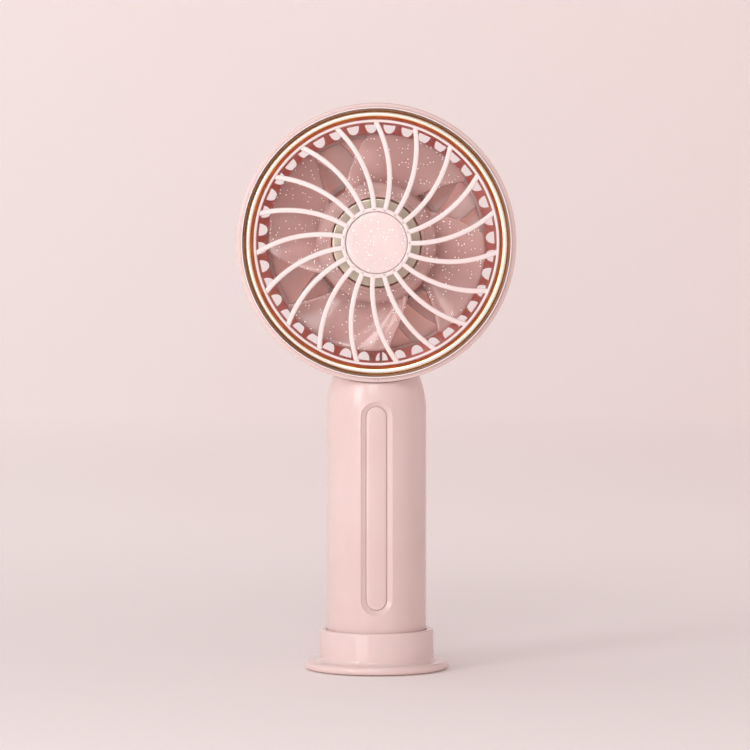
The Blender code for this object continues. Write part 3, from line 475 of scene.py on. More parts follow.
def enamelled_copper():
    """Magnet wire: warm copper under clear enamel, in close turns 0.25 mm across."""
    material, tree, shader, where = new_shader("enamelled_copper", Metallic=1.0, Coat_Weight=0.5)
    turns = add(tree, "ShaderNodeTexWave", {"Vector": where, "Scale": per(1.6), "Distortion": 0.6,
            "Detail": 1.0},
            wave_type="BANDS", bands_direction="DIAGONAL").outputs["Fac"]
    tint = add(tree, "ShaderNodeMix", {"Factor": turns, "A": "#8A4A26", "B": "#D98A4E"}, data_type="RGBA")
    feed(tree, shader, {"Base Color": tint})
    roughen(tree, shader, turns, (0.35, 0.22), turns, 0.5, 0.1)
    return material


def plain_surface(name, colour, dark, roughness, size_mm, metallic=0.0, bump_mm=0.01, ior=1.5):
    """A minor moulded, coated or pressed part: mottled colour and a fine uneven surface."""
    material, tree, shader, where = new_shader(name, Metallic=metallic, IOR=ior)
    grain = add(tree, "ShaderNodeTexNoise", {"Vector": where, "Scale": per(size_mm), "Detail": 4.0})
    tint = add(tree, "ShaderNodeMix", {"Factor": grain, "A": dark, "B": colour}, data_type="RGBA")
    feed(tree, shader, {"Base Color": tint})
    roughen(tree, shader, grain, (roughness + 0.08, roughness - 0.04), grain, 0.3, bump_mm)
    return material


def solder_mask():
    """Circuit board: green lacquer over copper tracks that show as raised, paler lines."""
    material, tree, shader, where = new_shader("solder_mask", IOR=1.5, Coat_Weight=0.4)
    tracks = add(tree, "ShaderNodeTexBrick", {"Vector": where, "Scale": per(9), "Mortar Size": 0.012,
            "Brick Width": 0.5, "Row Height": 0.2, "Color1": "#0F4A2A",
            "Color2": "#12532F", "Mortar": "#2E8A55"})
    feed(tree, shader, {"Base Color": tracks})
    roughen(tree, shader, tracks.outputs["Fac"], (0.35, 0.25), tracks.outputs["Fac"], 0.3, 0.04)
    return material


def clear_acrylic():
    """Light guide: clear, faintly frosted acrylic."""
    material, tree, shader, where = new_shader("clear_acrylic", IOR=1.49, Transmission_Weight=0.8,
            Base_Color=linear("#FFF6F2"))
    frost = add(tree, "ShaderNodeTexNoise", {"Vector": where, "Scale": per(0.3), "Detail": 2.0})
    gloss = add(tree, "ShaderNodeMapRange", {"Value": frost, "To Min": 0.15, "To Max": 0.4})
    feed(tree, shader, {"Roughness": gloss})
    return material


PINK = moulded_abs("moulded_pink_abs", "#E6D0CD", "#E2CAC7", roughness=0.24)
PALE = moulded_abs("moulded_pale_pink_abs", "#F8EAE8", "#F5E5E3", roughness=0.24)
# Its third colour is the painted shade round the head's rim.
ROSE = milky_styrene("milky_rose_styrene", "#FFDAD6", "#FBD1CC", "#EDB0AA", 0.28)
BASE_PINK = moulded_abs("gloss_pink_abs", "#E8D3D0", "#E4CCC9", roughness=0.13)
BLADE_ROSE = glitter_plastic("glitter_rose_styrene", "#FFCFC9", 0.4, 0.16)
CAP_GLITTER = glitter_plastic("glitter_pale_styrene", "#E2D8D7", 0.0, 0.28, pitch=1.05, size=0.36, share=0.6)
GOLD = gold_plating()
CAN_STEEL = turned_metal("zinc_plated_steel", "#D6CEBD", 0.3)
BRIGHT_STEEL = turned_metal("bright_steel", "#C9C9C7", 0.28, ring_mm=0.25)
NICKEL = plain_surface("nickel_strip", "#C8C4BA", "#ABA79E", 0.28, 0.8, metallic=1.0)
BRASS = turned_metal("turned_brass", "#D9B46A", 0.26)
COPPER = enamelled_copper()
LAMINATIONS = turned_metal("electrical_steel", "#6C6F74", 0.45, ring_mm=0.3)
FERRITE = plain_surface("bonded_ferrite", "#3A3A3D", "#2B2B2E", 0.6, 0.25)
BOARD = solder_mask()
BLACK = plain_surface("moulded_black_nylon", "#232325", "#18181A", 0.5, 0.3)
SLEEVE = plain_surface("shrink_sleeve_pvc", "#2E6FB4", "#2763A4", 0.3, 6.0, bump_mm=0.03)
CLEAR = clear_acrylic()
SILICONE = plain_surface("moulded_silicone", "#C99A95", "#BD8E89", 0.7, 0.4, bump_mm=0.03, ior=1.41)
RED_WIRE = plain_surface("red_pvc_insulation", "#C3262A", "#AE1F23", 0.4, 1.0)
ROSE_WIRE = plain_surface("rose_pvc_insulation", "#F2D0CC", "#EBC4BF", 0.4, 1.0)
BLACK_WIRE = plain_surface("black_pvc_insulation", "#1E1E20", "#151517", 0.4, 1.0)


# ---------------------------------------------------------------- geometry nodes

def new_tree(name, inputs):
    """An empty node group with inputs, as (name, kind) pairs, and a geometry output."""
    tree = bpy.data.node_groups.new(name, "GeometryNodeTree")
    for label, kind in inputs:
        tree.interface.new_socket(label, in_out="INPUT", socket_type="NodeSocket" + kind)
    tree.interface.new_socket("Geometry", in_out="OUTPUT", socket_type="NodeSocketGeometry")
    return tree, add(tree, "NodeGroupInput").outputs


def spread_round(tree, shape, copies, first_turn, material):
    """End a tree with real, painted copies of a shape, set evenly round Z."""
    points = add(tree, "GeometryNodeMeshLine", {"Count": copies, "Offset": (0, 0, 0)})
    number = add(tree, "GeometryNodeInputIndex")
    pitch = add(tree, "ShaderNodeMath", {0: 2 * math.pi, 1: copies}, operation="DIVIDE")
    turn = add(tree, "ShaderNodeMath", {0: number, 1: pitch, 2: first_turn}, operation="MULTIPLY_ADD")
    rotation = add(tree, "ShaderNodeCombineXYZ", {"Z": turn})
    spread = add(tree, "GeometryNodeInstanceOnPoints", {"Points": points, "Instance": shape,
            "Rotation": rotation})
    real = add(tree, "GeometryNodeRealizeInstances", {0: spread})
    painted = add(tree, "GeometryNodeSetMaterial", {"Geometry": real, "Material": material})
    add(tree, "NodeGroupOutput", {0: painted})


def copies_tree():
    """Nodes that set copies of a shape evenly round Z."""
    tree, given = new_tree("copies_round_axis", (("Geometry", "Geometry"), ("Copies", "Int"),
            ("First Turn", "Float"), ("Material", "Material")))
    spread_round(tree, given["Geometry"], given["Copies"], given["First Turn"], given["Material"])
    return tree


COPIES = copies_tree()


def use_tree(piece, tree, values):
    """Give a piece a node modifier with its named inputs set."""
    modifier = piece.modifiers.new(tree.name, "NODES")
    modifier.node_group = tree
    for item in tree.interface.items_tree:
        if item.in_out == "INPUT" and item.name in values:
            modifier[item.identifier] = values[item.name]
    return piece


def ring_of(piece, copies, first_deg=0.0, sharp_deg=32, place=UPRIGHT):
    """Repeat a piece, drawn in millimetres about Z, and then put it in its place."""
    values = {"Copies": copies, "First Turn": math.radians(first_deg), "Material": piece.data.materials[0]}
    bake(use_tree(piece, COPIES, values), sharp_deg)
    piece.data.transform(Matrix.Scale(MM, 4) @ place @ Matrix.Scale(1 / MM, 4))
    return piece


def spokes_tree():
    """Nodes that sweep a bevelled bar along a domed arc and repeat it round the hub."""
    tree, given = new_tree("curved_spokes", (
        ("Spokes", "Int"), ("Hub Radius", "Float"), ("Rim Radius", "Float"), ("Bend Radius", "Float"),
        ("Sweep", "Float"), ("Width", "Float"), ("Thickness", "Float"), ("Bevel", "Float"),
        ("Front", "Float"), ("Dome", "Float"), ("First Turn", "Float"), ("Material", "Material")))
    lead = math.radians(2.0)
    sweep = add(tree, "ShaderNodeMath", {0: given["Sweep"], 1: lead}, operation="ADD")
    path = add(tree, "GeometryNodeCurveArc", {"Resolution": 36, "Radius": given["Bend Radius"],
            "Start Angle": -math.pi / 2 - lead, "Sweep Angle": sweep})
    corner = add(tree, "ShaderNodeCombineXYZ", {"X": given["Hub Radius"], "Y": given["Bend Radius"]})
    moved = add(tree, "GeometryNodeTransform", {"Geometry": path, "Translation": corner})
    where = add(tree, "GeometryNodeInputPosition")
    radius = add(tree, "ShaderNodeVectorMath", {0: where}, operation="LENGTH")
    outward = add(tree, "ShaderNodeMapRange", {"Value": radius, "From Min": given["Hub Radius"],
            "From Max": given["Rim Radius"]})
    square = add(tree, "ShaderNodeMath", {0: outward, 1: 2.0}, operation="POWER")
    fall = add(tree, "ShaderNodeMath", {0: 1.0, 1: square}, operation="SUBTRACT")
    middle = add(tree, "ShaderNodeMath", {0: given["Thickness"], 1: -0.5, 2: given["Front"]},
            operation="MULTIPLY_ADD")
    height = add(tree, "ShaderNodeMath", {0: fall, 1: given["Dome"], 2: middle}, operation="MULTIPLY_ADD")
    lift = add(tree, "ShaderNodeCombineXYZ", {"Z": height})
    domed = add(tree, "GeometryNodeSetPosition", {"Geometry": moved, "Offset": lift})
    upright = add(tree, "GeometryNodeSetCurveNormal", {"Curve": domed}, mode="Z_UP")
    section = add(tree, "GeometryNodeCurvePrimitiveQuadrilateral", {"Width": given["Width"],
            "Height": given["Thickness"]})
    soft = add(tree, "GeometryNodeFilletCurve", {"Curve": section, "Radius": given["Bevel"],
            "Count": 3}, mode="POLY")
    bar = add(tree, "GeometryNodeCurveToMesh", {"Curve": upright, "Profile Curve": soft, "Fill Caps": True})
    spread_round(tree, bar, given["Spokes"], given["First Turn"], given["Material"])
    return tree


# ---------------------------------------------------------------- front cover

def make_bezel():
    """Pale lip with a rolled front edge, and the skirt behind it."""
    lip_bore = GOLD_RADIUS + GAP
    ledge, seat = 16.2, REBATE_FLOOR + GAP
    skirt, skirt_bore, skirt_rear = HOUSING_BORE - GAP, 44.6, 8.0
    inner = GOLD_RADIUS - TRIM_WIDTH
    outline = [(lip_bore, HEAD_FRONT, 0.2), (BEZEL_RADIUS, HEAD_FRONT, 0.24), (BEZEL_RADIUS, seat, 0.12),
            (skirt, seat, 0.1), (skirt, skirt_rear, 0.3), (skirt_bore, skirt_rear, 0.3), (skirt_bore, seat,
            0.3),
            (inner, seat + 0.7, 0.1), (inner, ledge, 0.1), (lip_bore, ledge, 0.1)]
    bezel = turned("bezel_lip", outline, PALE, HEAD_PLACE, steps=192, fillet_steps=4)
    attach(bezel, "front_cover")
    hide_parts("front_bezel")


def make_gold_ring():
    """Plated trim: rounded crest, a groove beside it and a fine outer bead."""
    inner, seat = GOLD_RADIUS - TRIM_WIDTH, 16.5
    outline = [(inner, seat, 0.1), (inner, 17.2, 0.2), (inner + 0.8, 18.3, 0.6), (inner + 1.9, 18.6, 0.6),
            (inner + 2.4, 17.6, 0.15), (inner + 2.8, 17.4, 0.1), (GOLD_RADIUS, 17.9, 0.1),
            (GOLD_RADIUS, seat, 0.1)]
    trim = turned("gold_trim", outline, GOLD, HEAD_PLACE, steps=192, fillet_steps=6, sharp_deg=60)
    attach(trim, "front_cover")
    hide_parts("gold_ring")


def make_grille():
    """Rim, hub and curved spokes."""
    back = GRILLE_RIM_FRONT - GRILLE_THICKNESS
    rim = turned("grille_rim", [(RIM_BORE, GRILLE_RIM_FRONT, 0.45), (GRILLE_RADIUS, GRILLE_RIM_FRONT, 0.35),
            (GRILLE_RADIUS, back, 0.2), (RIM_BORE, back, 0.3)], PALE, HEAD_PLACE, steps=192)
    floor = HEAD_FRONT - 1.4
    recess = CAP_RADIUS + GAP
    hub = turned("grille_hub", [(0, floor, 0), (recess, floor, 0.1), (recess, HEAD_FRONT - 0.1, 0.35),
            (HUB_RADIUS, HEAD_FRONT - 0.1, 0.6), (HUB_RADIUS, back + GRILLE_DOME, 0.4),
            (0, back + GRILLE_DOME, 0)], PALE, HEAD_PLACE, steps=128, closed=False)
    spokes = finish_mesh("grille_spokes", bpy.data.meshes.new("grille_spokes"), PALE)
    values = {"Spokes": SPOKES, "Hub Radius": HUB_RADIUS, "Rim Radius": RIM_BORE, "Bend Radius": SPOKE_BEND,
            "Sweep": math.radians(SPOKE_SWEEP_DEG), "Width": SPOKE_WIDTH, "Thickness": GRILLE_THICKNESS,
            "Bevel": 0.5, "Front": GRILLE_RIM_FRONT - 0.4, "Dome": GRILLE_DOME + 0.3,
            "First Turn": math.radians(FIRST_SPOKE_DEG), "Material": PALE}
    bake(use_tree(spokes, spokes_tree(), values), sharp_deg=50)
    spokes.data.transform(Matrix.Scale(MM, 4) @ HEAD_PLACE)
    for piece in (rim, hub, spokes):
        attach(piece, "front_cover")
        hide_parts("front_grille")


def make_hub_cap():
    """Glitter disc, a little domed, in the grille's hub."""
    top = HEAD_FRONT - 0.45
    cap = turned("hub_disc", [(0, top + 0.12, 0), (CAP_RADIUS - 2, top + 0.1, 4), (CAP_RADIUS, top - 0.15,
            0.25),
            (CAP_RADIUS, top - 0.65, 0.05), (0, top - 0.65, 0)], CAP_GLITTER, HEAD_PLACE,
            steps=128, closed=False)
    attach(cap, "front_cover")
    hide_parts("hub_cap")


# ---------------------------------------------------------------- head

def make_housing():
    """Outer ring of the head, its neck and the small stud below the bezel."""
    front, rear = HOUSING_FRONT - 0.6, HOUSING_REAR
    ring = turned("housing_ring", [(REBATE_RADIUS, front, 0.15), (HEAD_RADIUS, front, 1.0),
            (HEAD_RADIUS, rear, 0.25), (HOUSING_BORE, rear, 0.2),
            (HOUSING_BORE, REBATE_FLOOR, 0.1), (REBATE_RADIUS, REBATE_FLOOR, 0.1)],
            PINK, HEAD_PLACE, steps=224, fillet_steps=8)
    neck_top, flange_top, flange_under = HEAD_Z - HEAD_RADIUS + 1.6, 95.2, 93.4
    bore, neck_radius, flange = 9.0, 11.5, 12.8
    neck = turned("housing_neck", [(bore, neck_top, 0), (neck_radius, neck_top, 0), (neck_radius,
            flange_top, 0.2),
            (flange, flange_top, 0.2), (flange, flange_under, 0.2),
            (bore, flange_under, 0.2)], PINK, steps=96)
    stud = turned("housing_stud", [(0, HOUSING_FRONT, 0), (STUD_RADIUS, HOUSING_FRONT, 0.28),
            (STUD_RADIUS, front - 1.5, 0)], PINK,
            HEAD_PLACE @ Matrix.Translation((0, -STUD_CENTRE, 0)), steps=32, closed=False)
    for piece in (ring, neck, stud):
        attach(piece, "fan_body")
        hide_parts("head_housing")


def vent_outline(degrees, grow=0.0, steps=12):
    """Half-moon, flat side outward; grow widens it on every side."""
    turn = Matrix.Rotation(math.radians(degrees - 90), 2)
    depth = VENT_OUTER - VENT_INNER
    points = []
    for step in range(steps + 1):
        x, y = polar(1, 180 + 180 * step / steps)
        drawn = Vector((x * (VENT_WIDTH / 2 + grow), VENT_OUTER + grow + y * (depth + 2 * grow)))
        points.append(turn @ drawn)
    return points


def vent_cutters():
    """All the vents as prisms that flare at both mouths."""
    work = bmesh.new()
    inside = HEAD_REAR + COVER_WALL
    levels = ((HEAD_REAR - 1, 0.35), (HEAD_REAR, 0.3), (HEAD_REAR + 0.3, 0.0), (inside - 0.3, 0.0), (inside,
            0.3),
            (inside + 1, 0.35))
    for number in range(VENTS):
        degrees = 360 / VENTS * (number + 0.5) - 1.9
        skin(work, [[(*point, z) for point in vent_outline(degrees, grow)] for z, grow in levels])
    return from_work("vent_cutters", work, ROSE, HEAD_PLACE)


def vane_section(radius, thickness=1.4, rounding=5):
    """Section of a slanted vane at one radius: two flat faces and round edges."""
    half_turn = 0.46 * 360 / VANES
    top, bottom = -14.4, -18.1
    skew = VANE_SKEW_DEG * (radius - VANE_HUB)
    run = math.radians(2 * half_turn) * radius
    lean = math.atan2(bottom - top, run)
    points = []
    for end, start in ((-1, math.pi / 2), (1, -math.pi / 2)):
        for step in range(rounding + 1):
            angle = lean + start + math.pi * step / rounding
            along = end * run / 2 + thickness / 2 * math.cos(angle)
            height = (top + bottom) / 2 + end * (bottom - top) / 2 + thickness / 2 * math.sin(angle)
            x, y = polar(radius, skew + math.degrees(along / radius))
            points.append((x, y, height))
    return points


def make_rear_cover():
    """Dished cover with half-moon vents, slanted vanes and the disc behind the motor."""
    inside = HEAD_REAR + COVER_WALL
    wall, thin = -13.5, 1.2
    edge = HOUSING_REAR - GAP
    bore = COVER_RADIUS - COVER_WALL
    vane_wall = VANE_RING + thin
    dish = turned("cover_dish", [(bore, edge, 0.2), (COVER_RADIUS, edge, 0.25), (COVER_RADIUS, HEAD_REAR,
            6.0),
            (VANE_RING, HEAD_REAR, 0.3), (VANE_RING, wall, 0.3),
            (vane_wall, wall, 0.3), (vane_wall, inside, 0.3), (bore, inside, 4.2)],
            ROSE, HEAD_PLACE, steps=240, fillet_steps=10)
    boolean(dish, "DIFFERENCE", vent_cutters())
    boss, boss_radius, disc_wall = -16.0, 15.5, VANE_HUB - thin
    disc = turned("cover_disc", [(0, boss, 0), (boss_radius, boss, 0.2), (boss_radius, inside, 0.3),
            (disc_wall, inside, 0.4), (disc_wall, wall, 0.3), (VANE_HUB, wall, 0.3),
            (VANE_HUB, HEAD_REAR, 0.6),
            (19.5, HEAD_REAR, 0.3), (18.9, HEAD_REAR + 0.6, 0.3), (8.0, HEAD_REAR + 0.6, 0.3),
            (7.4, HEAD_REAR + 0.2, 0.3), (0, HEAD_REAR + 0.2, 0)], ROSE, HEAD_PLACE,
            steps=160, closed=False)
    radii = [VANE_HUB - 0.7 + (VANE_RING - VANE_HUB + 1.4) * i / 8 for i in range(9)]
    vanes = lofted("cover_vanes", [vane_section(radius) for radius in radii], ROSE)
    ring_of(vanes, VANES, place=HEAD_PLACE, sharp_deg=50)
    for piece in (dish, disc, vanes):
        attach(piece, "fan_body")
        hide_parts("rear_cover")


# ---------------------------------------------------------------- impeller

def blade_point(u, s):
    """Middle surface of the first blade: u from front to rear edge, s from root to tip."""
    front = 24.5 * (1 - s) ** 1.25
    rear = -47 - 17 * s ** 0.7
    front_corner = 2.0 * max(0.0, 1 - u / 0.06)
    rear_corner = 1.2 * max(0.0, 1 - (1 - u) / 0.04) ** 2
    tip = BLADE_TIP - 1.6 * (1 - u) ** 2 - front_corner - rear_corner
    radius = BLADE_ROOT + (tip - BLADE_ROOT) * s
    pitch = (6.6 - 1.2 * s) * math.cos(math.pi * (0.12 + 0.88 * u)) - 0.8
    x, y = polar(radius, FIRST_BLADE_DEG + front + (rear - front) * u)
    return Vector((x, y, pitch))


def make_blades():
    """Four swept blades, thick at the root and rounded to thin edges."""
    across_steps, out_steps = 40, 24
    spread = [0.5 - 0.5 * math.cos(math.pi * i / across_steps) for i in range(across_steps + 1)]
    outward = [math.sin(math.pi / 2 * i / out_steps) for i in range(out_steps + 1)]
    work = bmesh.new()
    skins = []
    for side in (1, -1):
        grid = []
        for s in outward:
            row = []
            for u in spread:
                here = blade_point(u, s)
                step_u = blade_point(min(u + 0.01, 1), s) - blade_point(max(u - 0.01, 0), s)
                step_s = blade_point(u, min(s + 0.01, 1)) - blade_point(u, max(s - 0.01, 0))
                normal = step_s.cross(step_u).normalized()
                edge = min(1.0, u * 28, (1 - u) * 28, (1 - s) * 14)
                half = (0.75 - 0.2 * s) * math.sqrt(max(0.0, 1 - (1 - edge) ** 2))
                row.append(work.verts.new(here + normal * side * half))
            grid.append(row)
        skins.append(grid)
    for grid in skins:
        for near, far in zip(grid, grid[1:]):
            bridge(work, near, far, closed=False)
    top, under = skins
    for i in range(across_steps):
        if 0 < i < across_steps - 1:
            work.faces.new((top[0][i], top[0][i + 1], under[0][i + 1], under[0][i]))
    bmesh.ops.remove_doubles(work, verts=work.verts, dist=0.002)
    bmesh.ops.holes_fill(work, edges=work.edges, sides=8)
    blades = from_work("impeller_blades", work, BLADE_ROSE, sharp_deg=70)
    return ring_of(blades, BLADES, place=HEAD_PLACE, sharp_deg=70)


def make_impeller():
    """Blades on a hub with a stepped nose, and the motor's drawn can inside it."""
    bore = CAN_RADIUS + 0.05
    hub = turned("impeller_hub", [(bore, 9.5, 0.2), (16.9, 9.5, 0.25), (17.3, 9.1, 0.15), (18.2, 9.1, 0.15),
            (18.5, 8.8, 0.2), (ROTOR_HUB, 7.4, 2.6), (ROTOR_HUB, -8.5, 0.5),
            (19.5, -8.5, 0.3), (19.5, 5.8, 2.2), (17.3, 7.2, 0.3), (bore, 7.2, 0.1)],
            BLADE_ROSE, HEAD_PLACE)
    for piece in (hub, make_blades()):
        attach(piece, "rotor")
        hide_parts("impeller")
    inner = CAN_RADIUS - 1.0
    can = turned("drawn_can", [(1.3, 8.7, 0.1), (3.4, 8.7, 0.3), (3.9, 9.0, 0.3), (CAN_RADIUS, 9.0, 0.9),
            (CAN_RADIUS, -5.0, 0.2), (inner, -5.0, 0.2), (inner, 7.8, 0.3), (2.6, 7.8, 0.2),
            (2.6, 6.2, 0.1), (1.3, 6.2, 0.1)], CAN_STEEL, HEAD_PLACE, steps=128)
    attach(can, "rotor")
    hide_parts("rotor_can")


# ---------------------------------------------------------------- handle

def on_wall(x, z, depth):
    """Point a given depth below the handle's round front, seen at x and z."""
    return x, -(math.sqrt(HANDLE_RADIUS ** 2 - x ** 2) - depth), z + RECESS_Z


def recess_cutter():
    """Slot with a bevelled, round-lipped mouth that follows the handle's curve."""
    shorter = RECESS_LENGTH - RECESS_WIDTH
    sections = []
    for depth, width in ((-3.0, 11.3), (0.0, 11.1), (0.08, 10.85), (0.28, 10.6), (0.5, 10.1), (1.15, 8.1),
            (1.3, 7.6), (1.5, SLOT_WIDTH), (4.5, SLOT_WIDTH)):
        sections.append([on_wall(x, z, depth) for x, z in capsule(width, shorter + width)])
    return lofted("recess_cutter", sections, PINK)


def taper(inset, steps=10):
    """Corners down the narrowing top of the handle, at an inset from its outside."""
    centre = HANDLE_RADIUS - TAPER_BEND
    crown_r, crown_z = polar(TAPER_BEND - CROWN_BEND, TAPER_DEG)
    corner_list = []
    for step in range(steps + 1):
        r, z = polar(CROWN_BEND - inset, 86 + (TAPER_DEG - 86) * step / steps)
        corner_list.append((centre + crown_r + r, TAPER_Z + crown_z + z, 0))
    for step in range(1, steps + 1):
        r, z = polar(TAPER_BEND - inset, TAPER_DEG * (1 - step / steps))
        corner_list.append((centre + r, TAPER_Z + z, 0))
    return corner_list


def handle_half(name, side):
    """Front (-1) or rear (1) shell, cut from the whole tube."""
    bore = HANDLE_RADIUS - SHELL_WALL
    outline = [*taper(0.0), (HANDLE_RADIUS, SHELL_BOTTOM, 0.2), (bore, SHELL_BOTTOM, 0.2),
            *taper(SHELL_WALL)[::-1]]
    tube = turned(name, outline, PINK)
    line = side * GAP / 4
    far = -side * 30
    half = rounded_box("half_cutter", (-30, min(line, far), -10), (30, max(line, far), 130), 0.01, PINK)
    saddle = turned("saddle_cutter", [(0, 40, 0), (HEAD_RADIUS + GAP, 40, 0), (HEAD_RADIUS + GAP, -40, 0),
            (0, -40, 0)], PINK, HEAD_PLACE, steps=256, closed=False)
    return boolean(tube, "DIFFERENCE", half, saddle)


def drill(name, radius, z):
    """Round cutter along Y through the rear wall, at a height."""
    near, far = 12, 22
    place = Matrix.Translation((0, 0, z)) @ Matrix.Rotation(-math.pi / 2, 4, "X")
    return turned(name, [(0, far, 0), (radius, far, 0), (radius, near, 0), (0, near, 0)], PINK, place,
            steps=64,
            closed=False)


def usb_outline(width, length, y):
    """Outline of the USB socket at a depth: width is its height, length runs across."""
    return [(along, y, up + USB_Z) for up, along in capsule(width, length, 10)]


def make_handle():
    """Both shells, with the strip's recess in front and the holes behind."""
    front = boolean(handle_half("handle_front", -1), "DIFFERENCE", recess_cutter())
    usb = lofted("usb_cutter", [usb_outline(3.9, 9.7, 12), usb_outline(3.9, 9.7, 17.2),
            usb_outline(5.3, 11.1, 17.9)], PINK)
    holes = drill("button_hole", BUTTON_RADIUS + GAP, BUTTON_Z), drill("led_hole", 1.5, LED_Z)
    rear = boolean(handle_half("handle_rear", 1), "DIFFERENCE", *holes, usb)
    for piece, node in ((front, "handle_front_shell"), (rear, "handle_rear_shell")):
        soften(piece, 0.12)
        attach(piece, "fan_body")
        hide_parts(node)


def make_inlay():
    """Slightly crowned strip that lies in the recess, with its flange inside the wall."""
    width = SLOT_WIDTH - 0.1
    shorter = RECESS_LENGTH - RECESS_WIDTH
    sections = []
    for depth, trim in ((1.02, 2.2), (1.05, 1.0), (1.1, 0.6), (1.2, 0.25), (1.4, 0.05), (1.6, 0.0), (3.0,
            0.0)):
        sections.append([on_wall(x, z, depth) for x, z in capsule(width - trim, shorter + width - trim)])
    strip = lofted("handle_strip", sections, PINK, sharp_deg=40)
    low, high = corners("handle_inlay")
    flange = lofted("strip_flange", [[(x, y, z + RECESS_Z) for x, z in capsule(high.x - low.x,
            high.z - low.z)]
            for y in (high.y - 1.0, high.y)], PINK)
    for piece in (strip, flange):
        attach(piece, "fan_body")
        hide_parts("handle_inlay")


def make_button():
    """Shallow dished key with a raised ring-and-bar power mark."""
    place = Matrix.Translation((0, 0, BUTTON_Z)) @ Matrix.Rotation(-math.pi / 2, 4, "X")
    key = turned("button_key", [(0, 17.75, 0), (3.2, 17.85, 2.0), (4.3, 18.1, 0.5), (BUTTON_RADIUS, 17.9,
            0.5),
            (BUTTON_RADIUS, 13.9, 0.1), (5.9, 13.9, 0.1), (5.9, 13.2, 0.1), (0, 13.2, 0)], PALE,
            place, steps=96, closed=False)
    mark = power_mark(place)
    for piece in (key, mark):
        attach(piece, "power_button")
        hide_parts("power_button")


def power_mark(place):
    """A broken ring and a bar, as a thin raised bead."""
    curve = bpy.data.curves.new("power_mark", "CURVE")
    curve.dimensions = "3D"
    curve.bevel_depth = 0.13
    curve.bevel_resolution = 3
    curve.use_fill_caps = True
    level = 17.86
    arc = [polar(1.6, -90 + degrees) for degrees in range(35, 326, 10)]
    bar = [(0, -0.5), (0, -1.9)]
    for stroke in (arc, bar):
        spline = curve.splines.new("POLY")
        spline.points.add(len(stroke) - 1)
        for point, (x, y) in zip(spline.points, stroke):
            point.co = (x, y, level, 1)
    drawn = bpy.data.objects.new("power_mark_curve", curve)
    bpy.context.scene.collection.objects.link(drawn)
    bpy.context.view_layer.update()
    mesh = bpy.data.meshes.new_from_object(drawn.evaluated_get(bpy.context.evaluated_depsgraph_get()))
    bpy.data.objects.remove(drawn)
    return finish_mesh("power_mark", mesh, PINK, place, sharp_deg=60)


def make_usb():
    """Drawn shell with rolled lip, tongue and contacts."""
    inner = corners("usb_socket")[0].y
    mouth = corners("usb_socket")[1].y
    levels = ((inner, 3.2, 8.9), (mouth - 0.1, 3.2, 8.9), (mouth, 3.1, 8.8), (mouth, 2.7, 8.4),
            (mouth - 0.1, 2.6, 8.3), (inner + 1.2, 2.6, 8.3))
    shell = lofted("usb_shell", [usb_outline(w, l, y) for y, w, l in levels], NICKEL)
    tongue = rounded_box("usb_tongue", (-3.3, inner + 1.0, USB_Z - 0.35), (3.3, mouth - 0.9, USB_Z + 0.35),
            0.12, BLACK)
    contacts = bmesh.new()
    for number in range(12):
        x = (number - 5.5) * 0.5
        for side in (-1, 1):
            level = USB_Z + side * 0.37
            bmesh.ops.create_cube(contacts, size=1, matrix=Matrix.Translation((x, mouth - 2.4, level))
                    @ Matrix.Diagonal((0.25, 2.4, 0.08, 1)))
    pads = from_work("usb_contacts", contacts, BRASS)
    for piece in (shell, tongue, pads):
        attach(piece, "fan_body")
        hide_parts("usb_socket")


def make_end_cap():
    """Plug under the handle, with two sunk screw holes."""
    cap = turned("end_plug", [(0, 12.0, 0), (15.2, 12.0, 0.4), (15.2, 9.0, 0.1), (HANDLE_RADIUS, 9.0, 0.15),
            (HANDLE_RADIUS, CAP_BOTTOM, 0.6), (10.0, CAP_BOTTOM, 0), (0, CAP_BOTTOM, 0)],
            PINK, steps=128, closed=False)
    cutters = []
    for number in (1, 2):
        low, high = corners(f"end_cap_screw_{number}")
        place = Matrix.Translation(((low.x + high.x) / 2, 0, 0))
        cutters.append(turned("screw_sink", [(0, 14, 0), (1.3, 14, 0), (1.3, 9.2, 0), (2.2, 9.2, 0), (2.2,
                5, 0),
                (0, 5, 0)], PINK, place, steps=32, closed=False))
    boolean(cap, "DIFFERENCE", *cutters)
    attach(cap, "fan_body")
    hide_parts("handle_end_cap")


# ---------------------------------------------------------------- base

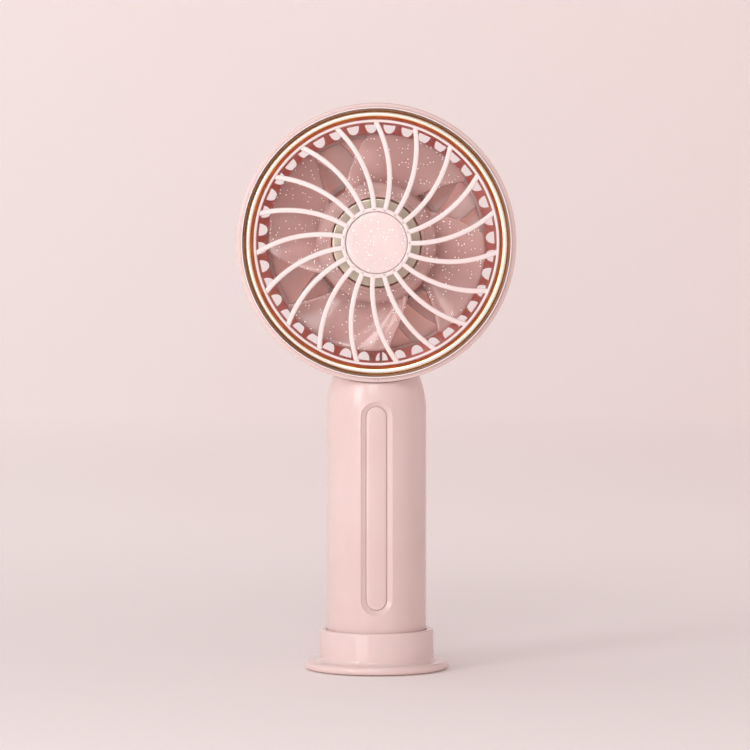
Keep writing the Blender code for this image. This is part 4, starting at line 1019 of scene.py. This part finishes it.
def make_base():
    """Collar on a round-edged flange, with crush ribs in the mouth of its socket."""
    floor, well, ledge = 2.8, 14.5, CAP_BOTTOM - GAP
    under, top = BASE_BOTTOM, BASE_BOTTOM + FLANGE_THICKNESS
    groove, groove_low, groove_high = 19.0, 9.5, 12.5
    cup = turned("base_collar", [(0, floor, 0), (well, floor, 0.8), (well, ledge, 0.4),
            (SOCKET_RADIUS, ledge, 0.2), (SOCKET_RADIUS, groove_low, 0.1),
            (groove, groove_low, 0.1), (groove, groove_high, 0.1),
            (SOCKET_RADIUS, groove_high, 0.1), (SOCKET_RADIUS, BASE_TOP, 0.5),
            (COLLAR_RADIUS, BASE_TOP, 0.8), (COLLAR_RADIUS, top, 1.5),
            (FLANGE_RADIUS, top, 1.39), (FLANGE_RADIUS, under, 1.39),
            (PAD_RADIUS + GAP, under, 0.1), (PAD_RADIUS + GAP, 1.2, 0.1), (0, 1.2, 0)],
            BASE_PINK, steps=224, closed=False, fillet_steps=8)
    rib = rounded_box("crush_rib", (HANDLE_RADIUS + 0.05, -0.3, groove_high + 0.1),
            (SOCKET_RADIUS + 0.3, 0.3, BASE_TOP - 0.3), 0.1, BASE_PINK)
    ribs = ring_of(rib, CRUSH_RIBS)
    ribs.name = "crush_ribs"
    for piece in (cup, ribs):
        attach(piece, "base")
        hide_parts("base_cup")
    treads = []
    for outer in (20.0, 17.0):
        treads += [(outer, 0.0, 0.1), (outer - 0.3, 0.3, 0.1), (outer - 1.1, 0.3, 0.1), (outer - 1.4, 0.0,
                0.1)]
    pad = turned("foot_disc", [(0, 0.9, 0), (PAD_RADIUS, 0.9, 0.2), (PAD_RADIUS, 0.0, 0.25), *treads,
            (14.0, 0.0, 0.1), (13.7, 0.3, 0.1), (0, 0.3, 0)], SILICONE, steps=128, closed=False)
    stud = turned("foot_stud", [(0, 0.0, 0), (0.9, 0.0, 0.15), (1.0, 0.4, 0)], SILICONE,
            Matrix.Translation((9, 0, 0)), steps=20, closed=False)
    studs = ring_of(stud, FOOT_STUDS)
    studs.name = "foot_studs"
    for piece in (pad, studs):
        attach(piece, "base")
        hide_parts("foot_pad")


# ---------------------------------------------------------------- carried-over CAD nodes

def paint_nodes():
    """Give every CAD node that is still shown the material of the real piece."""
    wear = {
        CAN_STEEL: ["shaft_clip"],
        BRIGHT_STEEL: ["motor_shaft", "bearing_front", "bearing_rear", "motor_screw_1", "motor_screw_2",
            "motor_screw_3", "end_cap_screw_1", "end_cap_screw_2"],
        NICKEL: ["battery_tab_plus", "battery_tab_minus", "button_switch"],
        BRASS: ["bearing_tube"],
        COPPER: [f"stator_winding_{number}" for number in range(1, 7)],
        LAMINATIONS: ["stator_core"],
        FERRITE: ["magnet_ring"],
        BOARD: ["motor_board", "main_board"],
        BLACK: ["motor_mount", "battery_tray", "controller_chip", "charge_inductor", "switch_plunger"],
        SLEEVE: ["battery_cell"],
        CLEAR: ["status_led", "led_window"],
        SILICONE: ["base_grip_ring"],
        RED_WIRE: ["battery_wire_red"],
        BLACK_WIRE: ["battery_wire_black"],
        ROSE_WIRE: ["motor_wire_red", "motor_wire_black"],
    }
    for material, nodes in wear.items():
        for name in nodes:
            for slot in frame["nodes"][name].material_slots:
                slot.material = material


# ---------------------------------------------------------------- stage, lights and camera

def light_far_paper(material):
    """Make the paper glow, more so away from the fan and at the left, as if washed by its own lamps."""
    tree = material.node_tree
    shader = tree.nodes["Principled BSDF"]
    where = add(tree, "ShaderNodeTexCoord").outputs["Object"]
    side = add(tree, "ShaderNodeSeparateXYZ", {0: where}).outputs["X"]
    flat = add(tree, "ShaderNodeVectorMath", {0: where, 1: (1, 1, 0)}, operation="MULTIPLY")
    far = add(tree, "ShaderNodeVectorMath", {0: flat}, operation="LENGTH")
    glow = add(tree, "ShaderNodeMapRange", {"Value": far, "From Min": -0.45, "From Max": 0.75,
            "To Min": 0.0, "To Max": 0.33}, interpolation_type="SMOOTHSTEP")
    dimmer = add(tree, "ShaderNodeMapRange", {"Value": side, "From Min": -0.9, "From Max": 0.9,
            "To Min": 1.0, "To Max": 0.55}, interpolation_type="SMOOTHSTEP")
    strength = add(tree, "ShaderNodeMath", {0: glow, 1: dimmer}, operation="MULTIPLY")
    warmth = add(tree, "ShaderNodeMapRange", {"Value": side, "From Min": -0.7, "From Max": 0.7})
    tint = add(tree, "ShaderNodeMix", {"Factor": warmth, "A": "#F6F0EF", "B": "#F6D3CF"},
            data_type="RGBA")
    feed(tree, shader, {"Emission Color": tint, "Emission Strength": strength})


def make_stage():
    """Pale round floor that sweeps up into a wall all round, so every side has a backdrop."""
    material = plain_surface("pale_floor_paper", "#F2EDEC", "#F0EAE9", 0.85, 3.0)
    light_far_paper(material)
    wall, height = 2400.0, 1000.0
    sweep = turned("studio_sweep", [(0, -0.05, 0), (wall, -0.05, 900), (wall, height, 0)], material, steps=96,
            closed=False, fillet_steps=24)
    for face in sweep.data.polygons:
        face.flip()
    world = bpy.data.worlds.new("studio_light")
    world.use_nodes = True
    tree = world.node_tree
    side = add(tree, "ShaderNodeSeparateXYZ", {0: add(tree, "ShaderNodeTexCoord").outputs["Generated"]})
    turn = add(tree, "ShaderNodeMapRange", {"Value": side.outputs["X"], "From Min": -0.9, "From Max": 0.9})
    bright, dim = [0.8 * v for v in linear("#FFFDFD")], [0.22 * v for v in linear("#FFC9C4")]
    sky = add(tree, "ShaderNodeMix", {"Factor": turn, "A": bright, "B": dim}, data_type="RGBA")
    feed(tree, tree.nodes["Background"], {"Color": sky})
    bpy.context.scene.world = world


def add_light(name, place, aim, size, power, colour):
    """One soft box, turned to face a point."""
    light = bpy.data.lights.new(name, "AREA")
    light.shape = "RECTANGLE"
    light.size, light.size_y = size
    light.energy = power
    light.color = linear(colour)[:3]
    lamp = bpy.data.objects.new(name, light)
    lamp.location = place
    lamp.rotation_euler = (Vector(aim) - Vector(place)).to_track_quat("-Z", "Y").to_euler()
    bpy.context.scene.collection.objects.link(lamp)


def make_lights():
    """Broad light from the front and left, and weak warm light from the right."""
    head = (0, 0, HEAD_Z * MM)
    middle = (0, 0, 0.09)
    add_light("key", (-0.95, -0.95, 0.5), head, (0.45, 0.45), 4.3, "#FFFEFE")
    add_light("low", (-0.55, -1.0, 0.07), head, (0.5, 0.12), 1.2, "#FFF4F2")
    add_light("fill", (1.1, -0.6, 0.3), middle, (0.6, 0.9), 0.15, "#FFC8C2")
    add_light("front", (-0.15, -1.0, 0.7), head, (0.45, 0.35), 2.1, "#FFFFFF")
    add_light("edge", (0.8, 0.35, 0.3), middle, (0.05, 0.8), 0.22, "#FFF6F4")
    add_light("top", (0.0, 0.1, 1.0), head, (0.6, 0.6), 0.15, "#FFFFFF")


def make_camera():
    """Long lens, level with the head and tipped down so that the fan fills the frame."""
    camera = bpy.data.cameras.new("camera")
    camera.lens = 174.8
    camera.sensor_width = 36
    camera.clip_start = 0.05
    camera.clip_end = 20
    item = bpy.data.objects.new("camera", camera)
    item.location = (-0.0005, -1.28, HEAD_Z * MM)
    item.rotation_euler = (math.radians(90 - 2.08), 0, 0)
    bpy.context.scene.collection.objects.link(item)
    bpy.context.scene.camera = item


make_camera()
make_stage()
make_lights()
make_bezel()
make_gold_ring()
make_grille()
make_hub_cap()
make_housing()
make_rear_cover()
make_impeller()
make_handle()
make_inlay()
make_button()
make_usb()
make_end_cap()
make_base()
paint_nodes()
bpy.context.scene.view_settings.view_transform = "Standard"
